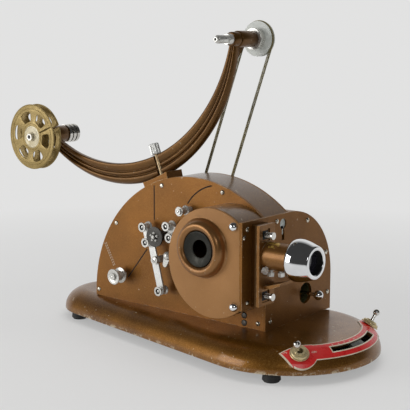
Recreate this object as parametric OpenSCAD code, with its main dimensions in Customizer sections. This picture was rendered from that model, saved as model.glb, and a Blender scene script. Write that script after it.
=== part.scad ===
// Movie projector for narrow film: a cast base, an arch-shaped mechanism housing with a lamp house and a lens,
// and a crescent reel arm with a belt-driven spindle.
// Frame: millimetres, +X towards the screen, -Y the operating side, +Z up, origin on the table under the middle.

/* [Base] */
// Height of the flat top of the base above the table
base_top = 32.7; // [30:0.1:36]
// Height of the lower edge of the base, which the feet give
base_low = 10; // [8:0.5:12]
// Rear round end of the base, distance behind the origin
rear_end_x = 118.6; // [112:0.1:124]
// Rear round end of the base, radius
rear_end_r = 50.8; // [47:0.1:54]
// Front round end of the base, distance ahead of the origin
front_end_x = 128.9; // [124:0.1:134]
// Front round end of the base, radius
front_end_r = 93.6; // [90:0.1:98]
// Width of the rounded edge of the base
edge_w = 24; // [20:0.5:28]
// Straight lip under the rounded edge
edge_lip = 2; // [1:0.5:3]
// Wall of the base casting
base_wall = 3; // [2:0.25:4]
// Thickness of the cover under the base
cover_t = 2; // [1.5:0.25:3]
// Radius of a rubber foot
foot_r = 9; // [7:0.5:11]
// Distance of a foot's axis from the edge of the base
foot_inset = 14; // [12:0.5:20]

/* [Controls] */
// Angle of each toggle switch from the front, around the front end
switch_angle = 47.3; // [44:0.1:54]
// Position of the switches on the rounded edge, 0 at the top and 90 at the lip
switch_slope = 39; // [35:1:45]
// Outer radius of a switch bush
bush_r = 5.5; // [4.5:0.25:6.5]
// Length of a toggle lever
toggle_len = 18; // [15:0.5:22]
// Tilt of a toggle lever from its bush
toggle_tilt = 14; // [8:1:16]
// Position of the speed slot on the rounded edge
slot_slope = 32.5; // [30:0.5:36]
// Half the sweep of the speed slot
slot_half = 25; // [24:1:28]
// Width of the speed slot
slot_w = 6.2; // [5:0.1:7.5]
// Half the sweep of the slider's block in the slot
slider_half = 6.5; // [5:0.5:8]
// Thickness of the control plate
tag_t = 0.9; // [0.6:0.1:1.5]

/* [Housing] */
// Outer face of the mechanism plate, distance in front of the middle
plate_y = 35; // [32:0.5:38]
// Thickness of the housing plates
plate_t = 3; // [2:0.25:4]
// Arch centre, distance ahead of the origin
arch_x = 35; // [30:0.5:40]
// Arch centre, height above the base
arch_h = 4; // [2:0.5:6]
// Arch radius
arch_r = 140; // [136:0.5:144]
// Depth of the arch housing
arch_depth = 41.5; // [39:0.5:46]
// Front face of the front plate
front_x = 127.4; // [124:0.1:130]
// Height of the front plate above the base
front_h = 113.3; // [110:0.1:118]
// Far edge of the front plate, distance behind the middle
far_y = 81; // [78:0.5:85]
// Radius of the far top corner of the front plate
corner_r = 74; // [68:0.5:78]
// Rear face of the motor housing
motor_box_x = 47; // [45:0.5:49]

/* [Lamp house] */
// Lamp house axis, distance ahead of the origin
lamp_x = 89.5; // [87:0.5:92]
// Lamp house axis, height above the base
lamp_h = 69.3; // [67:0.1:72]
// Lamp house radius
lamp_r = 54; // [52:0.5:57]
// Lamp house depth in front of the mechanism plate
lamp_depth = 38; // [36:0.5:42]
// Wall of the lamp house
lamp_wall = 2.5; // [1.5:0.25:3]
// Vent ring axis, distance ahead of the origin
vent_x = 80; // [78:0.5:83]
// Vent ring axis, height above the base
vent_up = 83.3; // [80:0.1:86]
// Outer radius of the vent ring
vent_r = 28.2; // [25:0.1:30]
// Height of the vent ring
vent_rise = 10.4; // [8:0.1:12]
// Radius of the vent mouth
mouth_r = 17.6; // [15:0.1:19]
// Radius of the hole in the vent disc
vent_hole_r = 9; // [7:0.25:11]

/* [Film path] */
// Film plane, distance in front of the middle
film_y = 47; // [46:0.25:49]
// Optical axis, height above the base
optic_h = 79.9; // [77:0.1:83]
// Sprocket axis, distance ahead of the origin
sprocket_x = -0.6; // [-3:0.2:2]
// Sprocket axis, distance below the crown of the arch
sprocket_drop = 62.9; // [60:0.1:65]
// Radius of the sprocket's front disc
sprocket_disc_r = 10.6; // [9:0.2:11]
// Radius of the sprocket drum under the film
sprocket_drum_r = 7; // [6:0.2:7.6]
// Width between the outer faces of a roller
roller_w = 12; // [11:0.5:12.5]
// Radius of a roller flange
roller_r = 5; // [4:0.1:5.2]
// Radius of a roller's running core
roller_core_r = 3.2; // [2.8:0.1:3.6]
// Radius of the guide roller
guide_r = 8.5; // [7.5:0.25:9.5]
// Thickness of the keeper lever
lever_t = 2; // [1.5:0.25:2.5]
// Width of the keeper lever
lever_w = 8.5; // [7.5:0.25:9]

/* [Lens] */
// Depth of the film gate in front of the front plate
gate_t = 6.6; // [5:0.2:8]
// Travel of the lens carrier, from closed to open
gate_travel = 4; // [2:0.5:5]
// Thickness of the lens carrier plate
carrier_t = 3; // [2:0.25:3.5]
// Outer radius of the lens tube
tube_r = 13.5; // [13:0.1:14.2]
// Bore radius of the lens tube
tube_bore_r = 11.05; // [10:0.05:11.5]
// Length of the lens tube
tube_len = 28; // [25:0.5:32]
// Largest radius of the lens barrel
barrel_r = 20.3; // [18:0.1:23]
// Length of the lens barrel's bell
barrel_len = 24; // [21:0.5:27]
// Focus travel each way
focus_travel = 6; // [3:0.5:6]

/* [Reel arm] */
// Angle of the arm clamp, left of the vertical of the arch
clamp_angle = 21; // [18:0.5:24]
// Height of the saddle between the arch and the arm
saddle_rise = 4.5; // [4:0.25:6]
// Lean of the arm at its clamp
arm_lean = 2.6; // [1.5:0.1:4]
// Radius of the arm's lower edge
arm_low_r = 164; // [158:0.5:170]
// How much larger the radius of the arm's upper edge is
arm_flare = 7.4; // [6:0.1:9]
// Distance between the centres of the two edges
arm_shift = 31.2; // [29:0.1:34]
// Thickness of the arm
arm_t = 7.5; // [6.5:0.25:9]
// Front face of the arm, distance in front of the middle
arm_y = 25; // [24:0.5:26]
// Angle of the reel's boss along the arm, to the rear of straight down
supply_angle = 41.55; // [39:0.05:44]
// Angle of the driven boss along the arm, to the front of straight down
takeup_angle = 87.55; // [85:0.05:90]
// Radius of the driven boss
boss_r = 8; // [7.5:0.25:8.5]
// Radius of the reel's boss
supply_boss_r = 9.7; // [9:0.1:10.5]
// Radius of the reel spindles
spindle_r = 3.95; // [3.5:0.05:4.2]
// Radius of the reel
reel_r = 36.5; // [34:0.25:39]
// Radius of the reel's hub
reel_hub_r = 12; // [10:0.5:14]
// Thickness of a reel flange
flange_t = 1; // [0.8:0.1:1.5]

/* [Drive] */
// Gear tooth module
tooth = 1; // [0.9:0.05:1.1]
// Teeth of the main shaft's pinion
pinion_teeth = 12; // [12:1:14]
// Teeth of the sprocket's large gear
large_teeth = 60; // [56:1:60]
// Teeth of the sprocket's take-up gear
feed_teeth = 28; // [26:1:30]
// Teeth of the drive pulley's gear
takeup_teeth = 42; // [40:1:44]
// Radius of the drive shafts
shaft_r = 3; // [2.5:0.1:3.2]
// Radius of the belt's centre line on the drive pulleys
belt_r = 16.6; // [15:0.1:18]
// Outer radius of the spring belt
belt_coil_r = 1.75; // [1.5:0.05:2]
// Wire radius of the spring belt
belt_wire_r = 0.9; // [0.6:0.05:1]
// Curls shown along the spring belt
belt_curls = 72; // [40:1:90]
// Belt plane, distance behind the arch housing
belt_out = 4.5; // [4:0.25:6]
// Motor axis, distance ahead of the origin
motor_x = 84; // [80:0.5:87]
// Motor axis, height above the base
motor_h = 47.3; // [44:0.1:50]
// Outer radius of the motor stator
stator_r = 30; // [27:0.5:32]

/* [Fits] */
// Radial clearance of a running fit
run = 0.05; // [0.02:0.01:0.08]
// Clearance between pieces that pass each other
pass = 0.4; // [0.3:0.05:0.6]

/* [Hidden] */
$fn = 96;
large_fn = 360;
eps = 1;

edge_h = base_top - base_low - edge_lip;
front_y = -plate_y - lamp_depth;
back_y = -plate_y + arch_depth;
inner_y0 = -plate_y + plate_t;
inner_y1 = back_y - plate_t;
arch_z = base_top + arch_h;
front_top = base_top + front_h;
wall_x = front_x - plate_t;
optic_z = base_top + optic_h;
lamp_z = base_top + lamp_h;
vent_z = base_top + vent_up;
film = -film_y;
sprocket_z = arch_z + arch_r - sprocket_drop;

// Lamp house chord at the front plate
lamp_chord = sqrt(pow(lamp_r, 2) - pow(wall_x - lamp_x, 2));
lamp_low = lamp_z - lamp_chord;

// Roller places around the sprocket, as offsets from its axis
roller_a = [sprocket_x - 18.7, sprocket_z + 7.5];
roller_b = [sprocket_x - 14.4, sprocket_z - 8.2];
roller_c = [sprocket_x + 14.1, sprocket_z + 12.2];
roller_d = [sprocket_x + 18.1, sprocket_z + 0.7];
keeper_post = [sprocket_x + 22.6, sprocket_z + 8.6];
lever_pivot = [sprocket_x - 3.8, sprocket_z - 25.9];
lever_foot = [sprocket_x + 3.1, sprocket_z - 57.4];
lever_neck = [sprocket_x - 9.4, sprocket_z - 10.6];
feed_at = [sprocket_x + 32.5, sprocket_z + 29.8];
guide_at = [-61.4, base_top + 29.6];
latch_at = [sprocket_x + 13.1, sprocket_z - 19.1];
roller_y0 = film - roller_w / 2;
roller_y1 = film + roller_w / 2;
lever_y0 = film - lever_t / 2;
lever_y1 = film + lever_t / 2;
pin_r = 2;
post_r = 3.2;

// Lens axis pieces, from the gate outwards
gate_x = front_x + gate_t;
pad_t = 2.7;
film_gap = 0.3;
carrier_x = gate_x + film_gap + pad_t;
carrier_face = carrier_x + carrier_t;
carrier_y0 = film - 16;
carrier_y1 = film + 8.5;
carrier_low = optic_z - 47.6;
carrier_top = optic_z + 30.4;
stud_y = film - 5;
stud_z = [optic_z - 38.6, optic_z + 20.4];
stud_r = 1.6;
recess_d = 1.2;
spring_len = gate_travel + 3.5;
stud_head_x = carrier_face - recess_d + 2 * film_gap + spring_len;
tube_end = carrier_face + tube_len;
barrel_x = tube_end - 0.5;
sleeve_r = tube_bore_r - run;
bell_bore_r = tube_r + pass;
bell_depth = focus_travel + 2;
barrel_bore_r = sleeve_r + 0.6;

// Arm geometry, seated on the arch at the clamp
function left_of_up(a) = [-sin(a), cos(a)];
clamp_dir = left_of_up(clamp_angle);
arch_c = [arch_x, arch_z];
clamp_r = arch_r + saddle_rise;
clamp_at = arch_c + clamp_r * clamp_dir;
arm_c = clamp_at + arm_low_r * left_of_up(clamp_angle + arm_lean);
arm_turn = 20;
arm_up_c = arm_c + arm_shift * left_of_up(arm_turn);
supply_in = 7.5;
supply_at = arm_c + (arm_low_r - supply_in) * [-sin(supply_angle), -cos(supply_angle)];
takeup_out = 1.4;
takeup_at = arm_c + (arm_low_r + takeup_out) * [sin(takeup_angle), -cos(takeup_angle)];
arm_high_r = arm_low_r + arm_flare;
arm_y0 = -arm_y;
arm_y1 = -arm_y + arm_t;
screw_r = 2.25;
screw_y = arm_y0 + 3;
knob_r = 5.3;
arm_rise = arm_shift - arm_flare;
knob_low = clamp_r + arm_rise + 0.5;
knob_high = knob_low + 11.5;

// Drive train axes
function ahead(a) = [cos(a), sin(a)];
feed_angle = 52.5;
main_angle = -40;
sprocket_at = [sprocket_x, sprocket_z];
drive_at = sprocket_at + (feed_teeth + takeup_teeth) / 2 * tooth * ahead(feed_angle);
main_at = sprocket_at + (pinion_teeth + large_teeth) / 2 * tooth * ahead(main_angle);
motor_at = [motor_x, base_top + motor_h];
shutter_at = [wall_x - 16.4, optic_z];
shutter_r = 10.5;
boss_len = 4;
feed_y = [inner_y0 + boss_len + 2, inner_y0 + boss_len + 6];
large_y = [feed_y[1] + 2, feed_y[1] + 6];
shutter_belt_y = [large_y[1] + 2.5, large_y[1] + 5.5];
motor_belt_y = [inner_y1 - boss_len - 6, inner_y1 - boss_len - 3];
main_motor_r = 20;
motor_pulley_r = 5;
main_shutter_r = 14.4;
shutter_pulley_r = 6;
flat_belt_t = 1.2;
belt_y = back_y + belt_out;
pulley_w = 6;
pulley_r = belt_r + 0.8;
blind = 1.2;

bronze = [0.42, 0.25, 0.12];
nickel = [0.78, 0.77, 0.74];
steel = [0.55, 0.55, 0.56];
dark = [0.16, 0.16, 0.17];
brass = [0.72, 0.58, 0.28];

// Shapes placed along the Y and X axes

module rod_y(at, y0, y1, r) {
    translate([at[0], y0, at[1]]) rotate([-90, 0, 0]) cylinder(h = y1 - y0, r = r);
}

module rod_x(y, z, x0, x1, r) {
    translate([x0, y, z]) rotate([0, 90, 0]) cylinder(h = x1 - x0, r = r);
}

module turned_y(at, y) {
    translate([at[0], y, at[1]]) rotate([-90, 0, 0]) children();
}

module turned_front(at, y) {
    translate([at[0], y, at[1]]) rotate([90, 0, 0]) children();
}

module turned_x(y, z, x) {
    translate([x, y, z]) rotate([0, 90, 0]) children();
}

module slab_y(y0, y1) {
    translate([0, y1, 0]) rotate([90, 0, 0]) linear_extrude(y1 - y0) children();
}

module slab_x(x0, x1) {
    translate([x0, 0, 0]) rotate([90, 0, 90]) linear_extrude(x1 - x0) children();
}

module block(x, y, z) {
    translate([x[0], y[0], z[0]]) cube([x[1] - x[0], y[1] - y[0], z[1] - z[0]]);
}

module button_head(r, h) {
    rotate_extrude()
    polygon(concat([[0, 0]], [for (t = [0 : 15 : 75]) [r * cos(t), h * sin(t)]], [[0, h]]));
}

// Spur gear outline with room between the flanks

module gear_outline(teeth, turn) {
    pitch = 360 / teeth;
    r = teeth * tooth / 2;
    function at(radius, a) = radius * [cos(a), sin(a)];
    polygon([for (i = [0 : teeth - 1]) for (q = [[-1.15, -0.27], [0.8, -0.09], [0.8, 0.09], [-1.15, 0.27]])
        at(r + q[0] * tooth, turn + (i + q[1]) * pitch)]);
}

module gear(at, y, teeth, turn) {
    translate([at[0], y[1], at[1]]) rotate([90, 0, 0]) linear_extrude(y[1] - y[0]) gear_outline(teeth, turn);
}

// Base with its rounded edge

function edge_at(t, r, grow) = [
    r - edge_w + (edge_w + grow) * sin(t),
    base_low + edge_lip + (edge_h + grow) * cos(t)
];

function edge_tilt(t) = atan2(sin(t) / edge_w, cos(t) / edge_h);

module pillow(r, grow, low) {
    rotate_extrude($fn = 64)
    polygon(concat([[0, low], [r + grow, low]], [for (t = [90 : -15 : 0]) edge_at(t, r, grow)],
        [[0, base_top + grow]]));
}

module base_form(grow, low) {
    hull() {
        translate([-rear_end_x, 0, 0]) pillow(rear_end_r, grow, low);
        translate([front_end_x, 0, 0]) pillow(front_end_r, grow, low);
    }
}

module on_edge(a, t) {
    p = edge_at(t, front_end_r, 0);
    translate([front_end_x, 0, 0]) rotate([0, 0, a]) translate([p[0], 0, p[1]]) rotate([0, edge_tilt(t), 0])
        children();
}

slot_reach = base_wall + 5;

module slot_arc(w, half, low, high) {
    p = edge_at(slot_slope, front_end_r, 0);
    k = edge_tilt(slot_slope);
    out = [sin(k), cos(k)];
    down = [cos(k), -sin(k)];
    translate([front_end_x, 0, 0]) rotate([0, 0, -half]) rotate_extrude(angle = 2 * half)
        polygon([for (q = [[-1, low], [1, low], [1, high], [-1, high]]) p + q[0] * w / 2 * down + q[1] * out]);
}

module speed_slot() {
    slot_arc(slot_w, slot_half, -slot_reach, slot_reach);
}

module switch_holes(r) {
    for (a = [-switch_angle, switch_angle])
        on_edge(a, switch_slope) translate([0, 0, -base_wall - 5]) cylinder(h = base_wall + 10, r = r);
}

slider_p = edge_at(slot_slope, front_end_r, 0);
slider_k = edge_tilt(slot_slope);
slider_in = [slider_p[0] - slot_reach * sin(slider_k), slider_p[1] - slot_reach * cos(slider_k)];
slider_sunk = 0.6;
arm_plate_t = 2;
pivot_r = 4;

module base_shell() {
    color(bronze) {
        difference() {
            base_form(0, base_low);
            base_form(-base_wall, base_low - eps);
            switch_holes(bush_r + run);
            speed_slot();
        }
        translate([front_end_x, 0, slider_in[1] - arm_plate_t - 1])
            cylinder(h = base_top - base_wall / 2 - slider_in[1] + arm_plate_t + 1, r = pivot_r);
    }
}

foot_front_a = 65.2;
foot_rear_a = 115;
feet = [for (s = [-1, 1]) each [
    [front_end_x + (front_end_r - foot_inset) * cos(foot_front_a), s * (front_end_r - foot_inset) * sin(foot_front_a)],
    [-rear_end_x + (rear_end_r - foot_inset) * cos(foot_rear_a), s * (rear_end_r - foot_inset) * sin(foot_rear_a)]
]];
stem_r = 3;

module base_cover() {
    color(dark)
    difference() {
        translate([0, 0, base_low]) linear_extrude(cover_t) hull() {
            translate([-rear_end_x, 0]) circle(rear_end_r - base_wall - pass);
            translate([front_end_x, 0]) circle(front_end_r - base_wall - pass);
        }
        for (p = feet)
            translate([p[0], p[1], base_low - eps]) cylinder(h = cover_t + 2 * eps, r = stem_r + run);
    }
}

module rubber_feet() {
    color([0.06, 0.06, 0.06])
    for (p = feet)
        translate([p[0], p[1], 0]) rotate_extrude()
            polygon([[0, 0], [foot_r - 1.5, 0], [foot_r, 2], [foot_r - 1, base_low], [stem_r, base_low],
                [stem_r, base_low + cover_t + 1], [0, base_low + cover_t + 1]]);
}

// Control plate wrapped on the rounded edge, with a lobe round each switch

lobe_r = 16.6;
lobe_at = [-2.3, 1.5];
lobe_tip = [-2, -18.4];
lobe_shoulder = [-11.7, -0.8];
tag_gap = 0.05;
band_t = [10, 57];
lobe_t = [8, 84];

module tag_band(t0, t1, a) {
    steps = [for (i = [0 : 8]) t0 + (t1 - t0) * i / 8];
    translate([front_end_x, 0, 0]) rotate([0, 0, -a]) rotate_extrude(angle = 2 * a)
        polygon(concat([for (t = steps) edge_at(t, front_end_r, tag_gap)],
            [for (i = [8 : -1 : 0]) edge_at(steps[i], front_end_r, tag_gap + tag_t)]));
}

module lobe_outline() {
    difference() {
        hull() {
            translate(lobe_at) circle(lobe_r);
            translate(lobe_tip) circle(0.3);
        }
        polygon([lobe_tip, lobe_shoulder, lobe_shoulder - [lobe_r, 0], lobe_tip - [lobe_r, 0]]);
    }
}

module control_plate() {
    color([0.7, 0.06, 0.05])
    difference() {
        union() {
            tag_band(band_t[0], band_t[1], switch_angle - 4);
            intersection() {
                tag_band(lobe_t[0], lobe_t[1], switch_angle + 15);
                for (s = [-1, 1])
                    on_edge(s * switch_angle, switch_slope) translate([0, 0, -lobe_r]) linear_extrude(2 * lobe_r)
                        scale([1, -s, 1]) lobe_outline();
            }
        }
        speed_slot();
        switch_holes(bush_r + run);
    }
}

bush_bore_r = 3.2;
bush_rise = 6;
nut_low = tag_gap + tag_t + 0.2;
nut_h = 3.4;
nut_r = bush_r + 2.7;
washer_r = bush_r + 3.7;
washer_t = 1.1;
ball_tip_r = 3.5;
toggle_foot = 1;
toggle_pin_r = 0.9;
toggle_pin = 4.4;
switch_drop = 2.4;

module across(half, r) {
    translate([0, 0, toggle_foot]) rotate([0, 90, 0]) cylinder(h = 2 * half, r = r, center = true);
}

module toggle_switches() {
    color(nickel)
    for (a = [-switch_angle, switch_angle])
        on_edge(a, switch_slope) difference() {
            union() {
                translate([-6, -10, -base_wall - switch_drop - 8]) cube([12, 20, 8]);
                translate([0, 0, -base_wall - switch_drop - 1])
                    cylinder(h = base_wall + switch_drop + 1 + bush_rise, r = bush_r);
                translate([0, 0, nut_low]) cylinder(h = nut_h, r = nut_r, $fn = 6);
                translate([0, 0, nut_low]) cylinder(h = washer_t, r = washer_r);
            }
            translate([0, 0, -2.2]) cylinder(h = bush_rise + 4, r = bush_bore_r);
            across(toggle_pin + pass, toggle_pin_r + run);
        }
}

module toggle_lever(a, side) {
    on_edge(a, switch_slope) {
        across(toggle_pin, toggle_pin_r);
        translate([0, 0, toggle_foot]) rotate([side * toggle_tilt, 0, 0]) {
            sphere(r = bush_bore_r - 2 * pass);
            cylinder(h = toggle_len - ball_tip_r, r1 = 1.5, r2 = 2);
            translate([0, 0, toggle_len - ball_tip_r]) sphere(r = ball_tip_r);
        }
    }
}

module lamp_toggle() {
    color(nickel) toggle_lever(-switch_angle, 1);
}

module motor_toggle() {
    color(nickel) toggle_lever(switch_angle, -1);
}

rheostat_r = front_end_r - 34.6;
rheostat_top = base_low + cover_t + 5;

module rheostat() {
    color([0.6, 0.55, 0.45])
    translate([front_end_x, 0, 0]) rotate([0, 0, -slot_half - 8]) rotate_extrude(angle = 2 * slot_half + 16)
        translate([rheostat_r - 4, base_low + cover_t]) square([8, rheostat_top - base_low - cover_t]);
}

module speed_slider() {
    arm_low = slider_in[1] - arm_plate_t;
    color(dark) {
        slot_arc(slot_w - 2 * pass, slider_half, -slot_reach, -slider_sunk);
        translate([front_end_x, 0, 0]) {
            difference() {
                translate([0, 0, arm_low]) {
                    cylinder(h = arm_plate_t, r = pivot_r + 4);
                    translate([0, -4, 0]) cube([slider_in[0] + 1, 8, arm_plate_t]);
                }
                translate([0, 0, arm_low - eps]) cylinder(h = arm_plate_t + 2 * eps, r = pivot_r + run);
            }
            translate([rheostat_r, 0, rheostat_top + 0.3]) cylinder(h = arm_low - rheostat_top, r = 1.5);
        }
    }
}

gland_r = 6;
gland_bore_r = 3.5;
gland_len = 8;
gland_at = [45, base_top + 26];

module cord_gland() {
    color(dark)
    difference() {
        union() {
            rod_x(gland_at[0], gland_at[1], motor_box_x - 3, motor_box_x, gland_r + 3);
            rod_x(gland_at[0], gland_at[1], motor_box_x - 1, motor_box_x + gland_len, gland_r);
        }
        rod_x(gland_at[0], gland_at[1], motor_box_x - 3 - eps, motor_box_x + gland_len - 3, gland_bore_r);
    }
}

// Arch housing

module arch_outline(r) {
    intersection() {
        translate(arch_c) circle(r, $fn = large_fn);
        translate([arch_x - 2 * arch_r, base_top]) square([wall_x - arch_x + 2 * arch_r, 2 * arch_r]);
    }
}

shaft_axes = [sprocket_at, main_at, drive_at];

// Engraved threading lines on the mechanism plate

groove_w = 1.1;
groove_d = 0.5;

module groove(from, to) {
    run_v = to - from;
    translate([from[0], -plate_y - eps, from[1]]) rotate([0, -atan2(run_v[1], run_v[0]), 0])
        translate([0, 0, -groove_w / 2]) cube([norm(run_v), eps + groove_d, groove_w]);
}

module threading_grooves() {
    groove([sprocket_x - 16.7, sprocket_z + 13], [sprocket_x - 16.7, sprocket_z + 50]);
    groove([guide_at[0] + 5, guide_at[1] - 3], [sprocket_x - 27, sprocket_z - 19]);
    intersection() {
        turned_front([71, base_top + 87.3], -plate_y + groove_d) rotate_extrude()
            translate([51, 0]) square([groove_w, groove_d + eps]);
        block([sprocket_x + 26, sprocket_x + 61], [-plate_y - eps, -plate_y + groove_d],
            [sprocket_z + 35, sprocket_z + 60]);
    }
}

module side_plate() {
    color(bronze)
    difference() {
        union() {
            slab_y(-plate_y, inner_y0) arch_outline(arch_r);
            for (p = concat(shaft_axes, [shutter_at])) rod_y(p, inner_y0 - plate_t / 2, inner_y0 + boss_len, shaft_r + 3);
        }
        for (p = [main_at, drive_at]) rod_y(p, inner_y0 - blind, inner_y0 + boss_len + eps, shaft_r + run);
        for (p = [sprocket_at, shutter_at]) rod_y(p, -plate_y - eps, inner_y0 + boss_len + eps, shaft_r + run);
        threading_grooves();
    }
}

module arch_rim() {
    color(bronze)
    slab_y(inner_y0, inner_y1) difference() {
        arch_outline(arch_r);
        translate(arch_c) circle(arch_r - plate_t, $fn = large_fn);
    }
}

motor_shaft_hole_r = shaft_r + 2;

module back_plate() {
    color(bronze)
    difference() {
        union() {
            slab_y(inner_y1, back_y) arch_outline(arch_r);
            for (p = concat(shaft_axes, [shutter_at])) rod_y(p, inner_y1 - boss_len, inner_y1 + plate_t / 2, shaft_r + 3);
        }
        for (p = [sprocket_at, main_at, shutter_at])
            rod_y(p, inner_y1 - boss_len - eps, inner_y1 + blind, shaft_r + run);
        rod_y(drive_at, inner_y1 - boss_len - eps, back_y + eps, shaft_r + run);
        rod_y(motor_at, inner_y1 - eps, back_y + eps, motor_shaft_hole_r);
    }
}

// Front plate in its own plane, drawn as (Y, Z)

module box_outline(y0, inset) {
    r = corner_r - inset;
    c = [far_y - corner_r, front_top - corner_r];
    translate([y0, base_top]) square([c[0] - y0, front_h - inset]);
    translate([c[0], base_top]) square([r, c[1] - base_top]);
    intersection() {
        translate(c) circle(r);
        translate(c) square(r);
    }
}

keyhole_at = [-6.6, front_top - 10.2];
framing_at = [34.4, base_top + 25.4];
framing_hole_r = 11;
framing_pin_r = 1.5;
framing_back = 13;
ear_t = 3;
ear_gap = 2.2;
claw_z = optic_z - 8;
claw_y = film + 6;
finger_y = film + 3;
claw_guides = [optic_z - 14.5, optic_z + 14];
claw_stroke = 2;
guide_pin_r = 1.5;
light_w = 5.2;
light_h = 4.2;

module claw_slot(x0, x1) {
    block([x0, x1], [finger_y - 1.2, finger_y + 1.2],
        [claw_z - claw_stroke - 2, claw_z + claw_stroke + 2]);
}

module light_hole(x0, x1) {
    block([x0, x1], [film - light_w / 2, film + light_w / 2], [optic_z - light_h / 2, optic_z + light_h / 2]);
}

module front_plate() {
    color(bronze) {
        difference() {
            slab_x(wall_x, front_x) difference() {
                union() {
                    box_outline(-plate_y, 0);
                    translate([front_y, lamp_low]) square([lamp_depth + eps, front_top - lamp_low]);
                }
                translate(keyhole_at) circle(5.4);
                translate(keyhole_at + [-2.2, -16.4]) square([4.4, 14]);
                translate(framing_at) circle(framing_hole_r);
            }
            claw_slot(wall_x - eps, front_x + eps);
            light_hole(wall_x - eps, front_x + eps);
        }
        for (z = claw_guides) rod_x(claw_y, z, wall_x - 5.5, wall_x + plate_t / 2, guide_pin_r);
        for (s = [-1, 1]) difference() {
            y0 = framing_at[0] + s * (ear_gap + ear_t / 2) - ear_t / 2;
            block([wall_x - framing_back - 3, wall_x + plate_t / 2], [y0, y0 + ear_t],
                [framing_at[1] - framing_hole_r - 5, framing_at[1] + 4]);
            block([wall_x - 6, front_x + eps], [y0 - eps, y0 + ear_t + eps],
                [framing_at[1] - framing_hole_r, framing_at[1] + 4 + eps]);
            rod_y([wall_x - framing_back + 1, framing_at[1]], y0 - eps, y0 + ear_t + eps, framing_pin_r + run);
        }
    }
}

ball_at = [front_x + 15.6, framing_at[0], framing_at[1] + 2];
ball_r = 5;

module framing_lever() {
    pivot_x = wall_x - framing_back + 1;
    color(steel) {
        rod_x(framing_at[0], framing_at[1], pivot_x, ball_at[0], 1.8);
        translate([ball_at[0], framing_at[0], framing_at[1]]) sphere(r = ball_r);
        rod_y([pivot_x, framing_at[1]], framing_at[0] - ear_gap - ear_t, framing_at[0] + ear_gap + ear_t,
            framing_pin_r);
        rod_y([pivot_x, framing_at[1]], framing_at[0] - ear_gap + pass, framing_at[0] + ear_gap - pass, 2.8);
    }
}

module motor_housing() {
    color(bronze)
    difference() {
        slab_x(motor_box_x, wall_x) box_outline(back_y, 0);
        slab_x(motor_box_x + plate_t, wall_x + eps) difference() {
            box_outline(back_y - eps, plate_t);
            translate([back_y - 2 * eps, base_top - 2 * eps]) square([eps, eps]);
        }
        block([motor_box_x + plate_t, wall_x + eps], [back_y - eps, far_y - plate_t], [base_top - eps, base_top + eps]);
        rod_x(gland_at[0], gland_at[1], motor_box_x - eps, motor_box_x + plate_t + eps, gland_r + run);
    }
}

// Motor

stator_y = [back_y + 13.5, back_y + 55.5];
stator_wall = 5.5;
motor_end_t = 3;

module motor_stator() {
    color(dark)
    difference() {
        union() {
            rod_y(motor_at, stator_y[0], stator_y[1], stator_r);
            block([motor_x - 15, motor_x + 15], [stator_y[0] + 3, stator_y[1] - 3], [base_top, motor_at[1]]);
        }
        rod_y(motor_at, stator_y[0] + motor_end_t, stator_y[1] - motor_end_t, stator_r - stator_wall);
        rod_y(motor_at, stator_y[0] - eps, stator_y[1] + eps, shaft_r + run);
    }
}

module motor_rotor() {
    fan_y = [back_y + 4, back_y + 10];
    color(steel) {
        rod_y(motor_at, motor_belt_y[0] - 1, stator_y[1] + 2, shaft_r);
        rod_y(motor_at, stator_y[0] + motor_end_t + 3, stator_y[1] - motor_end_t - 3, stator_r - stator_wall - 1);
        flat_pulley(motor_at, motor_belt_y, motor_pulley_r);
        rod_y(motor_at, fan_y[0], fan_y[1], shaft_r + 4);
        for (a = [0 : 45 : 315])
            translate([motor_at[0], 0, motor_at[1]]) rotate([0, a, 0])
                block([shaft_r + 2, stator_r - 8], [fan_y[0], fan_y[1]], [-0.7, 0.7]);
    }
}

module flat_pulley(at, y, r) {
    rod_y(at, y[0] - 0.4, y[1] + 0.4, r - 0.3);
    rod_y(at, y[0] - 1.4, y[0] - 0.4, r + flat_belt_t + 0.6);
    rod_y(at, y[1] + 0.4, y[1] + 1.4, r + flat_belt_t + 0.6);
}

module belt_loop(p, pr, q, qr, y) {
    slab_y(y[0], y[1]) difference() {
        hull() {
            translate(p) circle(pr + flat_belt_t);
            translate(q) circle(qr + flat_belt_t);
        }
        hull() {
            translate(p) circle(pr + 0.1);
            translate(q) circle(qr + 0.1);
        }
    }
}

module inner_belts() {
    color([0.2, 0.13, 0.08]) {
        belt_loop(motor_at, motor_pulley_r, main_at, main_motor_r, motor_belt_y);
        belt_loop(shutter_at, shutter_pulley_r, main_at, main_shutter_r, shutter_belt_y);
    }
}

module main_shaft() {
    color(steel) {
        rod_y(main_at, inner_y0 - blind + 0.3, inner_y1 + blind - 0.3, shaft_r);
        flat_pulley(main_at, motor_belt_y, main_motor_r);
        flat_pulley(main_at, shutter_belt_y, main_shutter_r);
        gear(main_at, large_y, pinion_teeth, main_angle + 180 + 180 / pinion_teeth);
    }
}

module shutter() {
    drum_y = [film - 11, film + 9.5];
    color(dark) {
        rod_y(shutter_at, drum_y[1] - 1.5, inner_y1 + blind - 0.3, shaft_r);
        rod_y(shutter_at, drum_y[1] - 1.5, drum_y[1], shutter_r);
        flat_pulley(shutter_at, shutter_belt_y, shutter_pulley_r);
        for (a = [45, 225])
            turned_y(shutter_at, drum_y[0]) rotate([0, 0, a]) rotate_extrude(angle = 90)
                translate([shutter_r - 1.5, 0]) square([1.5, drum_y[1] - drum_y[0]]);
    }
}

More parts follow.
